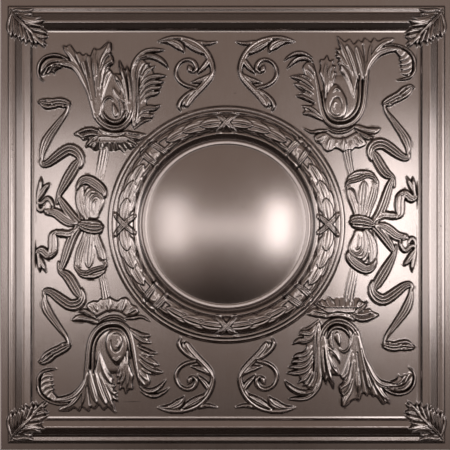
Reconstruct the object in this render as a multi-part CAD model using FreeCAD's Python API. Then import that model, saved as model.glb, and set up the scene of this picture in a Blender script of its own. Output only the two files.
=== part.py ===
import FreeCAD, Part
import math
import os

# Pressed tin ceiling tile: one sheet of tinplate, drawn into a moulded border and a domed rosette
# Lengths are millimetres. X runs to the right of the tile, Y to its top, Z out of its face.
# The origin is the middle of the tile, on the plane of the flange's back.

# The blank
tile_side = 609.6              # 24 inch module, edge to edge
sheet_thickness = 0.3          # 30 gauge tinplate
field_height = 1.4             # front of the flat field above the front of the flange

# The border, from the tile's edge inwards: widths of its members
flange_width = 9.4             # flat nailing flange
edge_wall_width = 1.5          # steep rise out of the flange
edge_bead_width = 3.0          # rounded bead behind that wall
bead_fall_width = 2.8
fillet_width = 2.8             # narrow flat between the bead and the ridge
ridge_wall_width = 2.0         # steep foot of the ridge
ridge_rise_width = 10.2        # its long outer slope
ridge_crest_width = 2.2
ridge_fall_width = 7.0         # its long inner slope
inner_wall_width = 2.0         # steep drop beside the field
inner_cove_width = 2.6
land_width = 2.5               # flat strip of the field that a moulding ends in

# The border: heights of the same members above the front of the flange
edge_wall_height = 2.3
edge_bead_height = 2.9
fillet_height = 1.7
ridge_wall_height = 4.4
ridge_crest_height = 8.8
ridge_fall_height = 4.6
inner_wall_height = 1.9

# The rosette, from its outer radius inwards: widths of its rings
rosette_radius = 160.8         # foot of the outermost wall
outer_wall_width = 2.2
outer_bead_width = 1.8
outer_bead_fall_width = 2.4
second_wall_width = 1.2
second_bead_width = 1.8
second_fall_width = 2.8
wreath_width = 23.2            # the round roll that carries the laurel wreath
inner_bead_rise_width = 1.4
inner_bead_width = 1.8
inner_bead_fall_width = 2.2
throat_slope_width = 4.2       # slope down towards the dome
throat_floor_width = 1.4
collar_rise_width = 1.4        # low collar round the dome's foot
collar_width = 4.8
collar_fall_width = 1.6

# The rosette: heights of the same rings above the front of the flange
outer_wall_height = 3.2
outer_bead_height = 3.9
outer_crease_height = 3.2
second_wall_height = 4.9
second_bead_height = 5.6
wreath_ground_height = 4.2
wreath_crest_height = 8.2
inner_bead_rise_height = 6.2
inner_bead_height = 6.7
inner_bead_fall_height = 5.6
throat_height = 1.8
collar_rise_height = 3.0
collar_height = 3.5
dome_foot_height = 3.0
dome_height = 13.2             # the dome's middle

# Radii that the press tool leaves on the front, in the folds and on the crests
tight_radius = 0.7
fold_radius = 1.2
crest_radius = 2.4
share_of_wall = 0.45           # a fold never takes more than this share of the wall beside it
least_reach = 1e-6             # folds smaller than this stay sharp

# The pressed ornament: how far its main forms stand above the field
stem_rise = 1.4
ring_rise = 2.3
ribbon_rise = 2.7
leaf_rise = 3.3
knot_rise = 4.0

# The corner leaves, which lie over the mitres of the border
corner_rise = 3.6              # their rims above the field
corner_lift = 0.8              # their crowns above the border's ridge
corner_slope = 0.21            # how steeply they climb to the crown and fall from it
corner_tip_inset = 60.8        # where the climb starts, in from the tile's edge
corner_fall_inset = 31.8       # where the fall starts

# Outlines of the ornament's main forms in one quarter, traced from the photo
# X and Y out from the tile's middle lines, in hundredths of the field's half side
LEFT_LEAF = [
    (69.3, 55.3), (72.8, 67), (76.3, 76.7), (82.9, 87.6), (85.7, 93.8), (81.8, 94.2), (78.3, 90),
    (71.7, 89), (69.3, 92.7), (66.6, 92.1), (61.9, 95.8), (60.4, 90), (59.6, 86.4), (61.1, 82.2),
    (60, 79), (56.4, 73), (56, 69), (59.5, 66), (65.4, 60.4),
]
MIDDLE_LEAF = [
    (51.8, 58.4), (54.9, 69.3), (59.2, 79), (55.9, 79), (56.3, 86.1), (53.2, 81.2), (52.2, 83.3),
    (50.2, 79), (49.3, 66.2),
]
INNER_FROND = [
    (48.5, 50.2), (49.6, 58.4), (50, 77.9), (49.3, 84.1), (45.2, 85.7), (40.3, 84.7), (41.7, 82.6),
    (37.6, 83.1), (39.7, 79.6), (31.9, 78.1), (36.2, 75.9), (33.1, 74.8), (37.8, 69.9), (35, 69.9),
    (38.6, 67.4), (42.8, 64.3), (40.5, 62.5), (34.9, 62.7), (38.6, 59.4), (40.1, 55.3), (44.4, 54.5),
]
EYE = [(59.2, 64.6), (60.4, 61.1), (59.8, 57.2), (58.4, 56.1), (57, 57.2), (56.9, 60)]
CURL_PAD = [
    (96.4, 75.9), (97.7, 81.8), (93.5, 87.2), (86.1, 87.2), (82.2, 86.1), (88, 82.4), (90.5, 78.7),
    (92.5, 80.2), (94.9, 79.2),
]
CALYX = [
    (80.2, 47.3), (76.7, 49.8), (71.7, 51.2), (67, 50.2), (62.3, 48.3), (57.6, 47.3), (53.7, 48.1),
    (49.8, 48.9), (44.4, 47.5), (46.3, 44.4), (48.3, 42.3), (52.4, 39.5), (53.5, 37.8), (58.4, 38.4),
    (64.1, 36.6), (67, 38.4), (70.1, 38.9), (72, 40.9), (74.2, 40.3), (72.4, 45), (75.5, 44.2),
]
BOW_LOOP = [
    (79, 18.3), (77.5, 22.6), (73.2, 25.7), (68.5, 25.1), (64.6, 20.6), (64.3, 14), (65.8, 7),
    (68.1, 1.9), (74.8, 1.9), (77.9, 7.8), (79, 14),
]

# Centre lines of its long forms, in the same hundredths: X, Y and half width
OUTER_FROND = [
    (95.8, 75.2, 0.4), (98.5, 79.4, 0.8), (97.4, 85.3, 1), (92.7, 88.4, 1), (86.4, 88, 1),
    (81.8, 84.5, 2.3), (77.5, 80.2, 1.9), (74, 73.6, 1.4), (71.7, 66.6, 0.8), (70.1, 59.2, 0.4),
]
CUP = [
    (69.7, 60.7, 0.6), (67.4, 55.3, 1.6), (63.5, 52, 1.9), (58.6, 50.8, 2.1), (54.1, 51.8, 1.9),
    (50.8, 55.3, 1.6), (49.1, 61.1, 0.8),
]
CUP_LINING = [(65.4, 60.4, 0.4), (62.3, 55.5, 1), (58.8, 54.1, 1.1), (55.7, 54.9, 1), (53, 59.6, 0.5)]
FLAME = [(57.6, 67.8, 0.3), (55.3, 63.9, 1.2), (54.3, 60.4, 1.3), (54.3, 58, 0.8)]
INNER_CURL = [
    (49.5, 79.8, 0.6), (48.5, 84.1, 1.1), (45.2, 87.6, 1.9), (40.5, 89.6, 2.7), (35.8, 88.4, 2.3),
    (32.9, 85.7, 1.6), (31, 82.2, 0.3),
]
STEM = [(64.4, 38.9, 2.1), (65, 34.3, 2.1), (65.8, 29.6, 1.6), (66.6, 25.7, 0.3)]
SCROLL = [
    (23.4, 97.4, 1.2), (17.9, 95.8, 1.8), (12.5, 92.3, 1.9), (8.8, 86.4, 1.7), (7.4, 81.4, 1.4),
    (8.8, 77.5, 1.6), (12.9, 72.4, 1.8), (17.9, 67.4, 1.9), (20.6, 63.9, 1.6), (21.1, 61.5, 0.3),
]
SCROLL_LEAF = [(35.8, 96.4, 0.3), (31.2, 97, 1.6), (26.5, 96.2, 2.3), (23.4, 93.5, 1.6), (22.3, 90.3, 0.3)]
SCROLL_TIP = [(17.1, 96.2, 0.8), (10.9, 95.2, 1.1), (4.7, 96.1, 0.3)]
SCROLL_RING = [
    (13.2, 71.1, 0.6), (21, 72.8, 1), (25.5, 76.7, 1), (26.3, 81.4, 1), (22.8, 85.7, 0.9),
    (18.5, 85.9, 1), (16.2, 82.9, 1), (17.1, 80.1, 0.8),
]
SCROLL_LEAFLETS = [
    [(9.2, 87.2, 0.8), (11.7, 82.7, 1.5), (15.2, 79, 0.3)],
    [(9.3, 78.3, 0.8), (13.6, 75.7, 1.4), (18.6, 74.6, 0.3)],
    [(14.8, 70.9, 0.8), (20.2, 68.5, 1.2), (24.3, 64.3, 1.2), (24.3, 60.4, 0.3)],
]
RIBBON = [
    [(98.9, 64.1, 0.4), (94.6, 63.5, 2.9), (88.4, 64.1, 2.5), (82.9, 63.1, 1.6), (82, 62.7, 0.4)],
    [(82.6, 63.9, 0.6), (83.3, 60.4, 1), (87, 54.7, 1.5), (92.7, 47.1, 2.2), (95.8, 40.5, 2.1),
     (97, 34.3, 1)],
    [(97.4, 35, 0.6), (96.2, 32.5, 1.6), (93.1, 32.7, 2.1), (86.4, 37.6, 2.8), (80.6, 38.7, 2.7),
     (77.1, 35.4, 2.1), (76.5, 31.2, 1)],
    [(77.3, 34.3, 1), (81.2, 27.8, 2.7), (85.9, 19.7, 2.1), (88.8, 12.9, 0.8)],
    [(88.4, 15.2, 0.8), (83.9, 8, 2.3), (79, 1.9, 2.3), (77.5, 0.4, 1.9)],
]
KNOT = [(77.9, 0.4, 1), (74, -0.8, 3.3), (70.1, -1.4, 3.8), (66.2, -1.2, 2.7), (64.8, -1.2, 1.2)]
UPPER_TAIL = [
    [(77.5, 0.6, 1.2), (83.1, 1.6, 2.5), (89.2, 5.8, 2.5), (94.8, 7, 1.8), (97.4, 9.3, 1.2)],
    [(91.9, 8.6, 0.8), (93.1, 12.5, 1.9), (96.2, 12.3, 1.9), (98.9, 11.5, 1.6)],
    [(99.1, 16, 0.6), (96.2, 18.9, 1.6), (93.1, 21.4, 0.3)],
]
LOWER_TAIL = [
    [(77.5, 1.9, 1.2), (80.2, 3.9, 1.8), (84.5, 5.1, 2), (89.2, 4.9, 1.6)],
    [(89.6, 3.5, 1.2), (91.1, 8.6, 2.5), (92.3, 14, 2.3), (95.8, 15.4, 2.3), (98.9, 14, 1.6)],
    [(98.9, 18.7, 0.6), (97.4, 21.8, 1.2), (95.4, 25.1, 0.3)],
]

# Outline of a corner leaf: in from the tile's two edges, in hundredths of the border's width
CORNER_LEAF = [
    (19, 29), (52, 26), (89, 29), (98, 43), (116, 54), (127, 68), (123, 85), (131, 100), (131, 118),
    (127, 135), (102, 134), (77, 129), (58, 127), (43, 114), (29, 108), (18, 89), (17, 52),
]

NODE = "ceiling_tile"
OUT_OF_EDGE = 1                # the border's section runs from the tile's edge to the field
INWARDS = -1                   # the rosette's section runs from its rim to the axis


def front(distance, height):
    """A point of the front surface in the plane Y = 0."""
    return FreeCAD.Vector(distance, 0, sheet_thickness + height)


def walk(start, direction, steps):
    """Corners of a section: each step goes its width along direction and ends at its height."""
    distance, height = start
    corners = [(front(distance, height), 0)]
    for width, height, radius in steps:
        distance += direction * width
        corners.append((front(distance, height), radius))
    return corners


def rounded(corners):
    """Edges through the corners, with a tangent arc of the given radius in each fold."""
    edges = []
    last = corners[0][0]
    for (before, _), (corner, radius), (after, _) in zip(corners, corners[1:], corners[2:]):
        into = (corner - before).normalize()
        out = (after - corner).normalize()
        turn = into.getAngle(out)
        half = math.tan(turn / 2)
        room = share_of_wall * min((corner - before).Length, (after - corner).Length)
        reach = min(radius * half, room)
        if reach < least_reach:
            edges.append(Part.LineSegment(last, corner).toShape())
            last = corner
            continue
        arc_start = corner - into * reach
        arc_end = corner + out * reach
        arc_radius = reach / half
        towards = (out - into).normalize()
        arc_middle = corner + towards * (arc_radius / math.cos(turn / 2) - arc_radius)
        edges.append(Part.LineSegment(last, arc_start).toShape())
        edges.append(Part.Arc(arc_start, arc_middle, arc_end).toShape())
        last = arc_end
    edges.append(Part.LineSegment(last, corners[-1][0]).toShape())
    return edges


def thick_section(edges, direction):
    """The closed section of the sheet: the front line and its parallel at the back."""
    to_the_back = -direction * sheet_thickness
    return Part.Wire(edges).makeOffset2D(to_the_back, join=0, fill=True, openResult=True)


border_steps = [
    (flange_width, 0, tight_radius),
    (edge_wall_width, edge_wall_height, fold_radius),
    (edge_bead_width, edge_bead_height, crest_radius),
    (bead_fall_width, fillet_height, fold_radius),
    (fillet_width, fillet_height, tight_radius),
    (ridge_wall_width, ridge_wall_height, fold_radius),
    (ridge_rise_width, ridge_crest_height, crest_radius),
    (ridge_crest_width, ridge_crest_height, crest_radius),
    (ridge_fall_width, ridge_fall_height, fold_radius),
    (inner_wall_width, inner_wall_height, tight_radius),
    (inner_cove_width, field_height, crest_radius),
    (land_width, field_height, 0),
]
border_width = sum(width for width, _, _ in border_steps)
field_share = (tile_side / 2 - border_width) / 100
clear = 2 * dome_height        # farther up and down than the sheet reaches

rim_steps = [
    (land_width, field_height, tight_radius),
    (outer_wall_width, outer_wall_height, fold_radius),
    (outer_bead_width, outer_bead_height, fold_radius),
    (outer_bead_fall_width, outer_crease_height, tight_radius),
    (second_wall_width, second_wall_height, tight_radius),
    (second_bead_width, second_bead_height, fold_radius),
    (second_fall_width, wreath_ground_height, 0),
]
wreath_outer_radius = rosette_radius + land_width - sum(width for width, _, _ in rim_steps)
wreath_inner_radius = wreath_outer_radius - wreath_width

throat_steps = [
    (inner_bead_rise_width, inner_bead_rise_height, tight_radius),
    (inner_bead_width, inner_bead_height, fold_radius),
    (inner_bead_fall_width, inner_bead_fall_height, fold_radius),
    (throat_slope_width, throat_height, tight_radius),
    (throat_floor_width, throat_height, tight_radius),
    (collar_rise_width, collar_rise_height, fold_radius),
    (collar_width, collar_height, crest_radius),
    (collar_fall_width, dome_foot_height, 0),
]
dome_radius = wreath_inner_radius - sum(width for width, _, _ in throat_steps)


def arc_of_dome():
    """A quarter view of the spherical dome, from its foot to the axis."""
    rise = dome_height - dome_foot_height
    sphere_radius = (dome_radius ** 2 + rise ** 2) / (2 * rise)
    half_way = dome_radius / 2
    height = dome_height - sphere_radius + math.sqrt(sphere_radius ** 2 - half_way ** 2)
    foot, middle = front(dome_radius, dome_foot_height), front(half_way, height)
    return Part.Arc(foot, middle, front(0, dome_height)).toShape()


def arc_of_wreath():
    """The round roll between the two beads."""
    middle = (wreath_outer_radius + wreath_inner_radius) / 2
    return Part.Arc(
        front(wreath_outer_radius, wreath_ground_height),
        front(middle, wreath_crest_height),
        front(wreath_inner_radius, wreath_ground_height),
    ).toShape()


def make_rosette():
    """Beads, wreath roll, throat, collar and dome, turned about the tile's axis."""
    rim = walk((rosette_radius + land_width, field_height), INWARDS, rim_steps)
    throat = walk((wreath_inner_radius, wreath_ground_height), INWARDS, throat_steps)
    edges = rounded(rim) + [arc_of_wreath()] + rounded(throat) + [arc_of_dome()]
    section = thick_section(edges, INWARDS)
    return section.revolve(FreeCAD.Vector(0, 0, 0), FreeCAD.Vector(0, 0, 1), 360)


def border_line():
    """The border's front in section, along X from the tile's edge."""
    return rounded(walk((-tile_side / 2, 0), OUT_OF_EDGE, border_steps))


def run_round(section):
    """A section of the border run along each side of the tile and mitred at the corners."""
    section.rotate(FreeCAD.Vector(0, 0, 0), FreeCAD.Vector(0, 0, 1), 90)
    half = tile_side / 2
    section.translate(FreeCAD.Vector(-half, 0, 0))
    bar = section.extrude(FreeCAD.Vector(tile_side, 0, 0))
    side = bar.common(prism([(0, 0), (-half, -half), (half, -half)], -clear, clear))
    sides = []
    for quarter in range(4):
        turned = side.copy()
        turned.rotate(FreeCAD.Vector(0, 0, 0), FreeCAD.Vector(0, 0, 1), 90 * quarter)
        sides.append(turned)
    return sides


def make_border():
    """The moulded border."""
    return run_round(thick_section(border_line(), OUT_OF_EDGE))


def strip_outline(line):
    """The outline of a long form: both sides of its centre line, from its half widths."""
    one_side, other_side = [], []
    for index, (x, y, half) in enumerate(line):
        before = line[max(index - 1, 0)]
        after = line[min(index + 1, len(line) - 1)]
        run = math.hypot(after[0] - before[0], after[1] - before[1])
        across_x = (before[1] - after[1]) / run * half
        across_y = (after[0] - before[0]) / run * half
        one_side.append((x + across_x, y + across_y))
        other_side.append((x - across_x, y - across_y))
    return one_side + other_side[::-1]


def drawn_in(outline, inset):
    """The outline moved in by inset, with its corners kept sharp."""
    corners = [FreeCAD.Vector(x, y, 0) for x, y in outline]
    before = corners[-1:] + corners[:-1]
    after = corners[1:] + corners[:1]
    turning = sum(corner.x * ahead.y - ahead.x * corner.y for corner, ahead in zip(corners, after))
    up = FreeCAD.Vector(0, 0, math.copysign(1, turning))
    moved = []
    for previous, corner, following in zip(before, corners, after):
        side_in = up.cross((corner - previous).normalize())
        side_out = up.cross((following - corner).normalize())
        shift = (side_in + side_out) * (inset / (1 + side_in.dot(side_out)))
        moved.append((corner.x + shift.x, corner.y + shift.y))
    return moved


def prism(outline, low, high):
    """An upright prism on an outline."""
    corners = [FreeCAD.Vector(x, y, low) for x, y in outline]
    face = Part.Face(Part.makePolygon(corners + corners[:1]))
    return face.extrude(FreeCAD.Vector(0, 0, high - low))


def mirrored(shapes, axis):
    """The same shapes on the other side of one of the tile's middle planes."""
    return [shape.mirror(FreeCAD.Vector(0, 0, 0), axis) for shape in shapes]


def pressed(forms):
    """What raised forms add to the field's sheet, and the hollows that they leave behind it."""
    outer, hollows = [], []
    for shares, rise in forms:
        outline = [(x * field_share, y * field_share) for x, y in shares]
        outer.append(prism(outline, field_height, field_height + sheet_thickness + rise))
        hollows.append(prism(drawn_in(outline, sheet_thickness), -clear, field_height + rise))
    return outer, hollows


def quarter_forms(knot, tail):
    """Outlines and rises of the forms in one quarter."""
    plates = [(LEFT_LEAF, leaf_rise), (MIDDLE_LEAF, leaf_rise), (INNER_FROND, leaf_rise),
              (EYE, ribbon_rise), (CURL_PAD, leaf_rise), (CALYX, ribbon_rise), (BOW_LOOP, ring_rise)]
    strips = [(OUTER_FROND, leaf_rise), (CUP, leaf_rise), (CUP_LINING, ribbon_rise), (FLAME, ring_rise),
              (INNER_CURL, leaf_rise), (STEM, stem_rise), (SCROLL, leaf_rise), (SCROLL_LEAF, leaf_rise),
              (SCROLL_TIP, ring_rise), (SCROLL_RING, ring_rise)]
    strips += [(line, ribbon_rise) for line in SCROLL_LEAFLETS + RIBBON + tail]
    strips += [(line, knot_rise) for line in knot]
    return plates + [(strip_outline(line), rise) for line, rise in strips]


def make_field():
    """The field with the ornament pressed into it, from the border's land to the rosette's: two halves."""
    top = field_height + sheet_thickness
    half = 100 * field_share
    right_half = [(0, -half), (half, -half), (half, half), (0, half)]
    hole = Part.makeCylinder(rosette_radius + land_width, 2 * clear, FreeCAD.Vector(0, 0, -clear))
    upper, upper_hollows = pressed(quarter_forms([KNOT], UPPER_TAIL))
    lower, lower_hollows = pressed(quarter_forms([], LOWER_TAIL))
    along_y = FreeCAD.Vector(0, 1, 0)
    field = prism(right_half, field_height, top).fuse(upper + mirrored(lower, along_y))
    field = field.cut(upper_hollows + mirrored(lower_hollows, along_y))
    field = field.common(prism(right_half, -clear, clear).cut(hole))
    return [field] + mirrored([field], FreeCAD.Vector(1, 0, 0))


def under_roof(profile):
    """The space under a roof line of insets and heights, along the tile's upper side and its right side."""
    half = tile_side / 2
    corners = [FreeCAD.Vector(half - inset, 0, height) for inset, height in profile]
    ends = [FreeCAD.Vector(corners[end].x, 0, -clear) for end in (-1, 0)]
    right = Part.Face(Part.makePolygon(corners + ends + corners[:1])).extrude(FreeCAD.Vector(0, half, 0))
    return right, right.mirror(FreeCAD.Vector(0, 0, 0), FreeCAD.Vector(1, -1, 0))


def corner_roof(top):
    """The space under a corner leaf, which climbs from the field over the ridge and falls to the corner."""
    crown = top + ridge_crest_height + corner_lift
    rim = top + field_height + corner_rise
    near = corner_tip_inset + border_width
    climb = (crown - rim) / corner_slope
    low = crown - corner_fall_inset * corner_slope
    tip = corner_tip_inset
    climbing = under_roof([(near, rim), (tip, rim), (tip - climb, crown), (0, crown)])
    falling = under_roof([(near, crown), (corner_fall_inset, crown), (0, low)])
    return climbing[0].fuse(climbing[1]).common(falling[0]).common(falling[1])


def under_the_sheet():
    """All that lies behind the middle of the plain sheet, in the border and in the field."""
    line = Part.Wire(border_line())
    line.translate(FreeCAD.Vector(0, 0, -sheet_thickness / 2))
    edge, end = line.OrderedVertexes[0].Point, line.OrderedVertexes[-1].Point
    below = [FreeCAD.Vector(point.x, 0, -clear) for point in (end, edge)]
    section = Part.Face(Part.Wire(line.Edges + Part.makePolygon([end] + below + [edge]).Edges))
    half = 100 * field_share
    field = [(-half, -half), (half, -half), (half, half), (-half, half)]
    return run_round(section) + [prism(field, -clear, field_height + sheet_thickness / 2)]


def corner_leaves():
    """The leaves over the mitres of the border, and the hollows behind them."""
    step = border_width / 100
    outline = [(tile_side / 2 - x * step, tile_side / 2 - y * step) for x, y in CORNER_LEAF]
    leaf = prism(outline, 0, clear).common(corner_roof(sheet_thickness)).cut(under_the_sheet())
    hollow = prism(drawn_in(outline, sheet_thickness), -clear, clear).common(corner_roof(0))
    leaves, hollows = [leaf], [hollow]
    for axis in (FreeCAD.Vector(1, 0, 0), FreeCAD.Vector(0, 1, 0)):
        leaves += mirrored(leaves, axis)
        hollows += mirrored(hollows, axis)
    return leaves, hollows


def make_tile():
    """The whole sheet, in one piece."""
    leaves, hollows = corner_leaves()
    rosette = make_rosette()
    return rosette.fuse(make_field() + make_border() + leaves).cut(hollows).removeSplitter()


os.makedirs("parts", exist_ok=True)
tile = make_tile()
tile.exportStep(f"parts/{NODE}.step")
box = tile.BoundBox
print("solids", len(tile.Solids), "valid", tile.isValid(), "faces", len(tile.Faces))
print("size", round(box.XLength, 3), round(box.YLength, 3), round(box.ZLength, 3))
print("volume_mm3", round(tile.Volume), "wreath", wreath_outer_radius, wreath_inner_radius, dome_radius)
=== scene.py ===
import math

import bmesh
import bpy
import numpy as np
from mathutils import Matrix, Vector


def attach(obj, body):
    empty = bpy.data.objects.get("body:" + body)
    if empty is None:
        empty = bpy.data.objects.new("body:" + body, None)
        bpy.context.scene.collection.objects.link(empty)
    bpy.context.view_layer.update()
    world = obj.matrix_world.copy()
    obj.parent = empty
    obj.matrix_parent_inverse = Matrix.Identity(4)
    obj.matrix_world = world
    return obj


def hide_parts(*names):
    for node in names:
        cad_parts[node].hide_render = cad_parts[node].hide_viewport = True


# Pressed tin ceiling tile: the finished sheet with its acanthus sprays, ribbons, wreath and corner leaves.
# Sizes in this script are millimetres and become metres in the meshes. Heights are above the flange.

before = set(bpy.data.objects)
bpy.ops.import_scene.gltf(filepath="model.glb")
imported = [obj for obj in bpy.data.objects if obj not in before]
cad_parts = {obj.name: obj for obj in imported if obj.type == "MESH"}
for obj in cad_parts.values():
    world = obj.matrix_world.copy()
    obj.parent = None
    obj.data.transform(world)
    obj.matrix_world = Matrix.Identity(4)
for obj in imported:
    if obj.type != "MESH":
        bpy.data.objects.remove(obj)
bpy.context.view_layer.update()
MILLIMETRE = 0.001

# The tile's quarters: the side of the middle on which each lies, across and up
QUARTERS = {"NW": (-1, 1), "NE": (1, 1), "SW": (-1, -1), "SE": (1, -1)}

# How finely the sheet is divided
field_cells = 80               # cells along one quarter of the field, halved where the ornament needs it
stray_limits = [0.04, 0.13, 0.40]    # three rounds: a cell is halved if the ornament strays by more
samples_across = 5             # places in a cell that are looked at, each way
border_cells = 63              # cells across the border
corner_cells = 84              # cells along a corner, border_cells of them across the border
side_cells = 24                # cells along a straight side
corner_start = 238.0           # the corner pieces of the border start this far from the middle line
line_tolerance = 0.01          # a vertex this near to a middle line lies on it
merge_distance = 0.001

# Painted shade, darker in the creases and on steep walls
crease_reach = 0.75            # it stays in creases about this wide
crease_depth = 0.45            # and is full where they are this deep
gentle_slope = 0.6             # walls up to this slope have none
steep_slope = 1.6              # and walls from this slope on have all that walls get
steep_share = 0.32             # how dark a steep wall is

# The plain sheet
half_tile = 304.8
sheet_thickness = 0.3
border_width = 48.0
rosette_radius = 163.3
wreath_outer_radius = 148.6
wreath_inner_radius = 125.4
wreath_middle_radius = (wreath_outer_radius + wreath_inner_radius) / 2
wreath_ground = 4.2
roll_fullness = 3.5            # 2 is a round roll, more is a flatter one
wreath_crest = 7.4             # the leaves rise above it
dome_radius = 106.6
dome_foot = 3.0
dome_top = 13.2
section_step = 0.1             # sections are sampled this finely
border_run_on = 40             # and run on over level ground, this far in from the border
rosette_run_on = 2             # and this far out from the rosette

# How the press works
fold_softness = 0.35           # how far it rounds a fold of the sheet
fold_steps = 12                # samples on each side that a fold is rounded over
press_softness = 0.45          # how far it rounds the ornament
raster_step = 0.3              # the ornament is worked out this finely
least_half_width = 0.05
curve_spacing = 1.2            # a stroke's curve has a point about this often
slim_band = 2.4                # a band of less half width is lower
slim_band_fall = 0.7           # 1 would lower it in step with its width
slim_vein = 1.5                # a vein of less half width is weaker
low_ground = 1.2               # so is a vein on ornament that is lower than this
slim_flute = 1.2               # a flute of less half width is shallower
flute_fullness = 0.7           # below 1 flutes are full and the grooves between them narrow
flute_edge = 1.5               # flutes fade towards a band's edges, the later the more this is over 1
RISE_PLACES = (0, 0.75, 1)     # along a band: its root, three quarters on and its tip
corner_reach = 85.0            # the corner leaves lie this near the tile's corners
corner_softness = 4.0          # under a corner leaf the border's members melt together this far
cover_height = 0.4             # ornament that is higher covers the border
cover_softness = 1.2           # and the melting fades this far round it

# Distance in from the tile's edge, height of the front
BORDER_SECTION = [
    (0, 0), (9.4, 0), (10.9, 2.3), (13.9, 2.9), (16.7, 1.7), (19.5, 1.7), (21.5, 4.4), (31.7, 8.8),
    (33.9, 8.8), (40.9, 4.6), (42.9, 1.9), (45.5, 1.4), (48.0, 1.4),
]
# Radius about the tile's middle, height of the front
RIM_SECTION = [
    (163.3, 1.4), (160.8, 1.4), (158.6, 3.2), (156.8, 3.9), (154.4, 3.2), (153.2, 4.9), (151.4, 5.6),
    (148.6, 4.2),
]
THROAT_SECTION = [
    (125.4, 4.2), (124.0, 6.2), (122.2, 6.7), (120.0, 5.6), (115.8, 1.8), (114.4, 1.8), (113.2, 3.5),
    (112.4, 3.9), (108.6, 3.5), (107.6, 2.9), (106.6, 3.0),
]


def cap_height(offset, half_chord, foot, top):
    """Height of a round cap over its chord, at a distance from its middle."""
    rise = top - foot
    radius = (half_chord ** 2 + rise ** 2) / (2 * rise)
    return top - radius + np.sqrt(radius ** 2 - np.minimum(np.abs(offset), half_chord) ** 2)


def soften(line):
    """Rounds the corners of a sampled section."""
    reach = np.arange(-fold_steps, fold_steps + 1)
    weights = np.exp(-0.5 * (reach * section_step / fold_softness) ** 2)
    padded = np.pad(line, fold_steps, mode="edge")
    return np.convolve(padded, weights / weights.sum(), mode="valid")


border_place = np.arange(0, border_width + border_run_on, section_step)
border_line = soften(np.interp(border_place, *np.array(BORDER_SECTION, float).T))
rosette_place = np.arange(0, rosette_radius + rosette_run_on, section_step)


def rosette_profile():
    """The section of dome, throat, wreath and rim, out from the tile's middle."""
    rings = np.array(THROAT_SECTION[::-1] + RIM_SECTION[::-1], float).T
    height = np.interp(rosette_place, *rings)
    half = (wreath_outer_radius - wreath_inner_radius) / 2
    from_middle = np.abs(rosette_place - wreath_middle_radius)
    roll = wreath_ground + (wreath_crest - wreath_ground) * (1 - (from_middle / half) ** roll_fullness)
    height = np.where(from_middle < half, roll, height)
    dome = cap_height(rosette_place, dome_radius, dome_foot, dome_top)
    return soften(np.where(rosette_place < dome_radius, dome, height))


rosette_line = rosette_profile()


def sheet_height(x, y):
    """The plain pressed sheet without its ornament."""
    edge_distance = half_tile - np.maximum(np.abs(x), np.abs(y))
    radius = np.hypot(x, y)
    border = np.interp(edge_distance, border_place, border_line)
    rosette = np.interp(radius, rosette_place, rosette_line)
    return np.where(radius < rosette_radius, rosette, border)


class Relief:
    """Height of the ornament over the plain sheet, on a square raster; rows follow Y, columns follow X."""

    def __init__(self, step):
        self.step = step
        self.axis = np.arange(-half_tile, half_tile + step, step, dtype=np.float32)
        self.height = np.zeros((len(self.axis), len(self.axis)), np.float32)

    def window(self, low, high):
        """The rows and columns between two corners of a box."""
        count = len(self.axis)
        first = [max(0, int((value + half_tile) / self.step)) for value in low]
        last = [min(count, int((value + half_tile) / self.step) + 2) for value in high]
        return slice(first[1], last[1]), slice(first[0], last[0])

    def sample(self, values, x, y):
        """Bilinear reading of a raster at points."""
        column = np.clip((x + half_tile) / self.step, 0, len(self.axis) - 1.001)
        row = np.clip((y + half_tile) / self.step, 0, len(self.axis) - 1.001)
        left, low = column.astype(int), row.astype(int)
        across, up = column - left, row - low
        bottom = values[low, left] * (1 - across) + values[low, left + 1] * across
        top = values[low + 1, left] * (1 - across) + values[low + 1, left + 1] * across
        return bottom * (1 - up) + top * up


def curve_through(points, closed=False):
    """A smooth curve through the points; columns after X and Y go along with it."""
    points = np.array(points, float)
    if closed:
        knots = np.vstack([points[-1], points, points[:2]])
    else:
        knots = np.vstack([2 * points[0] - points[1], points, 2 * points[-1] - points[-2]])
    rows = []
    for before, start, end, after in zip(knots, knots[1:], knots[2:], knots[3:]):
        count = max(2, int(np.hypot(*(end - start)[:2]) / curve_spacing))
        for share in np.arange(count) / count:
            straight = 2 * start + (end - before) * share
            bend = (2 * before - 5 * start + 4 * end - after) * share ** 2
            twist = (3 * start - before - 3 * end + after) * share ** 3
            rows.append((straight + bend + twist) / 2)
    rows.append(knots[-2])
    return np.array(rows)


def near_curve(relief, path, reach):
    """The raster window round a curve: distance to it, side of it and place along it."""
    rows, columns = relief.window(path[:, :2].min(0) - reach, path[:, :2].max(0) + reach)
    shape = (rows.stop - rows.start, columns.stop - columns.start)
    distance = np.full(shape, 1e6, np.float32)
    side = np.zeros(shape, np.float32)
    place = np.zeros(shape, np.float32)
    for index, (start, end) in enumerate(zip(path[:, :2], path[1:, :2])):
        run = end - start
        length = run @ run
        if length == 0:
            continue
        run_rows, run_columns = relief.window(np.minimum(start, end) - reach, np.maximum(start, end) + reach)
        local = (
            slice(run_rows.start - rows.start, run_rows.stop - rows.start),
            slice(run_columns.start - columns.start, run_columns.stop - columns.start),
        )
        x = relief.axis[None, run_columns] - start[0]
        y = relief.axis[run_rows, None] - start[1]
        share = np.clip((x * run[0] + y * run[1]) / length, 0, 1)
        away = np.hypot(x - share * run[0], y - share * run[1])
        closer = away < distance[local]
        distance[local] = np.where(closer, away, distance[local])
        side[local] = np.where(closer, np.sign(run[0] * y - run[1] * x), side[local])
        place[local] = np.where(closer, index + share, place[local])
    return rows, columns, distance, side, place


def round_over(share):
    """A quarter round from 0 at the foot to 1 on top."""
    share = np.clip(share, 0, 1)
    return np.sqrt(share * (2 - share))


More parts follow.
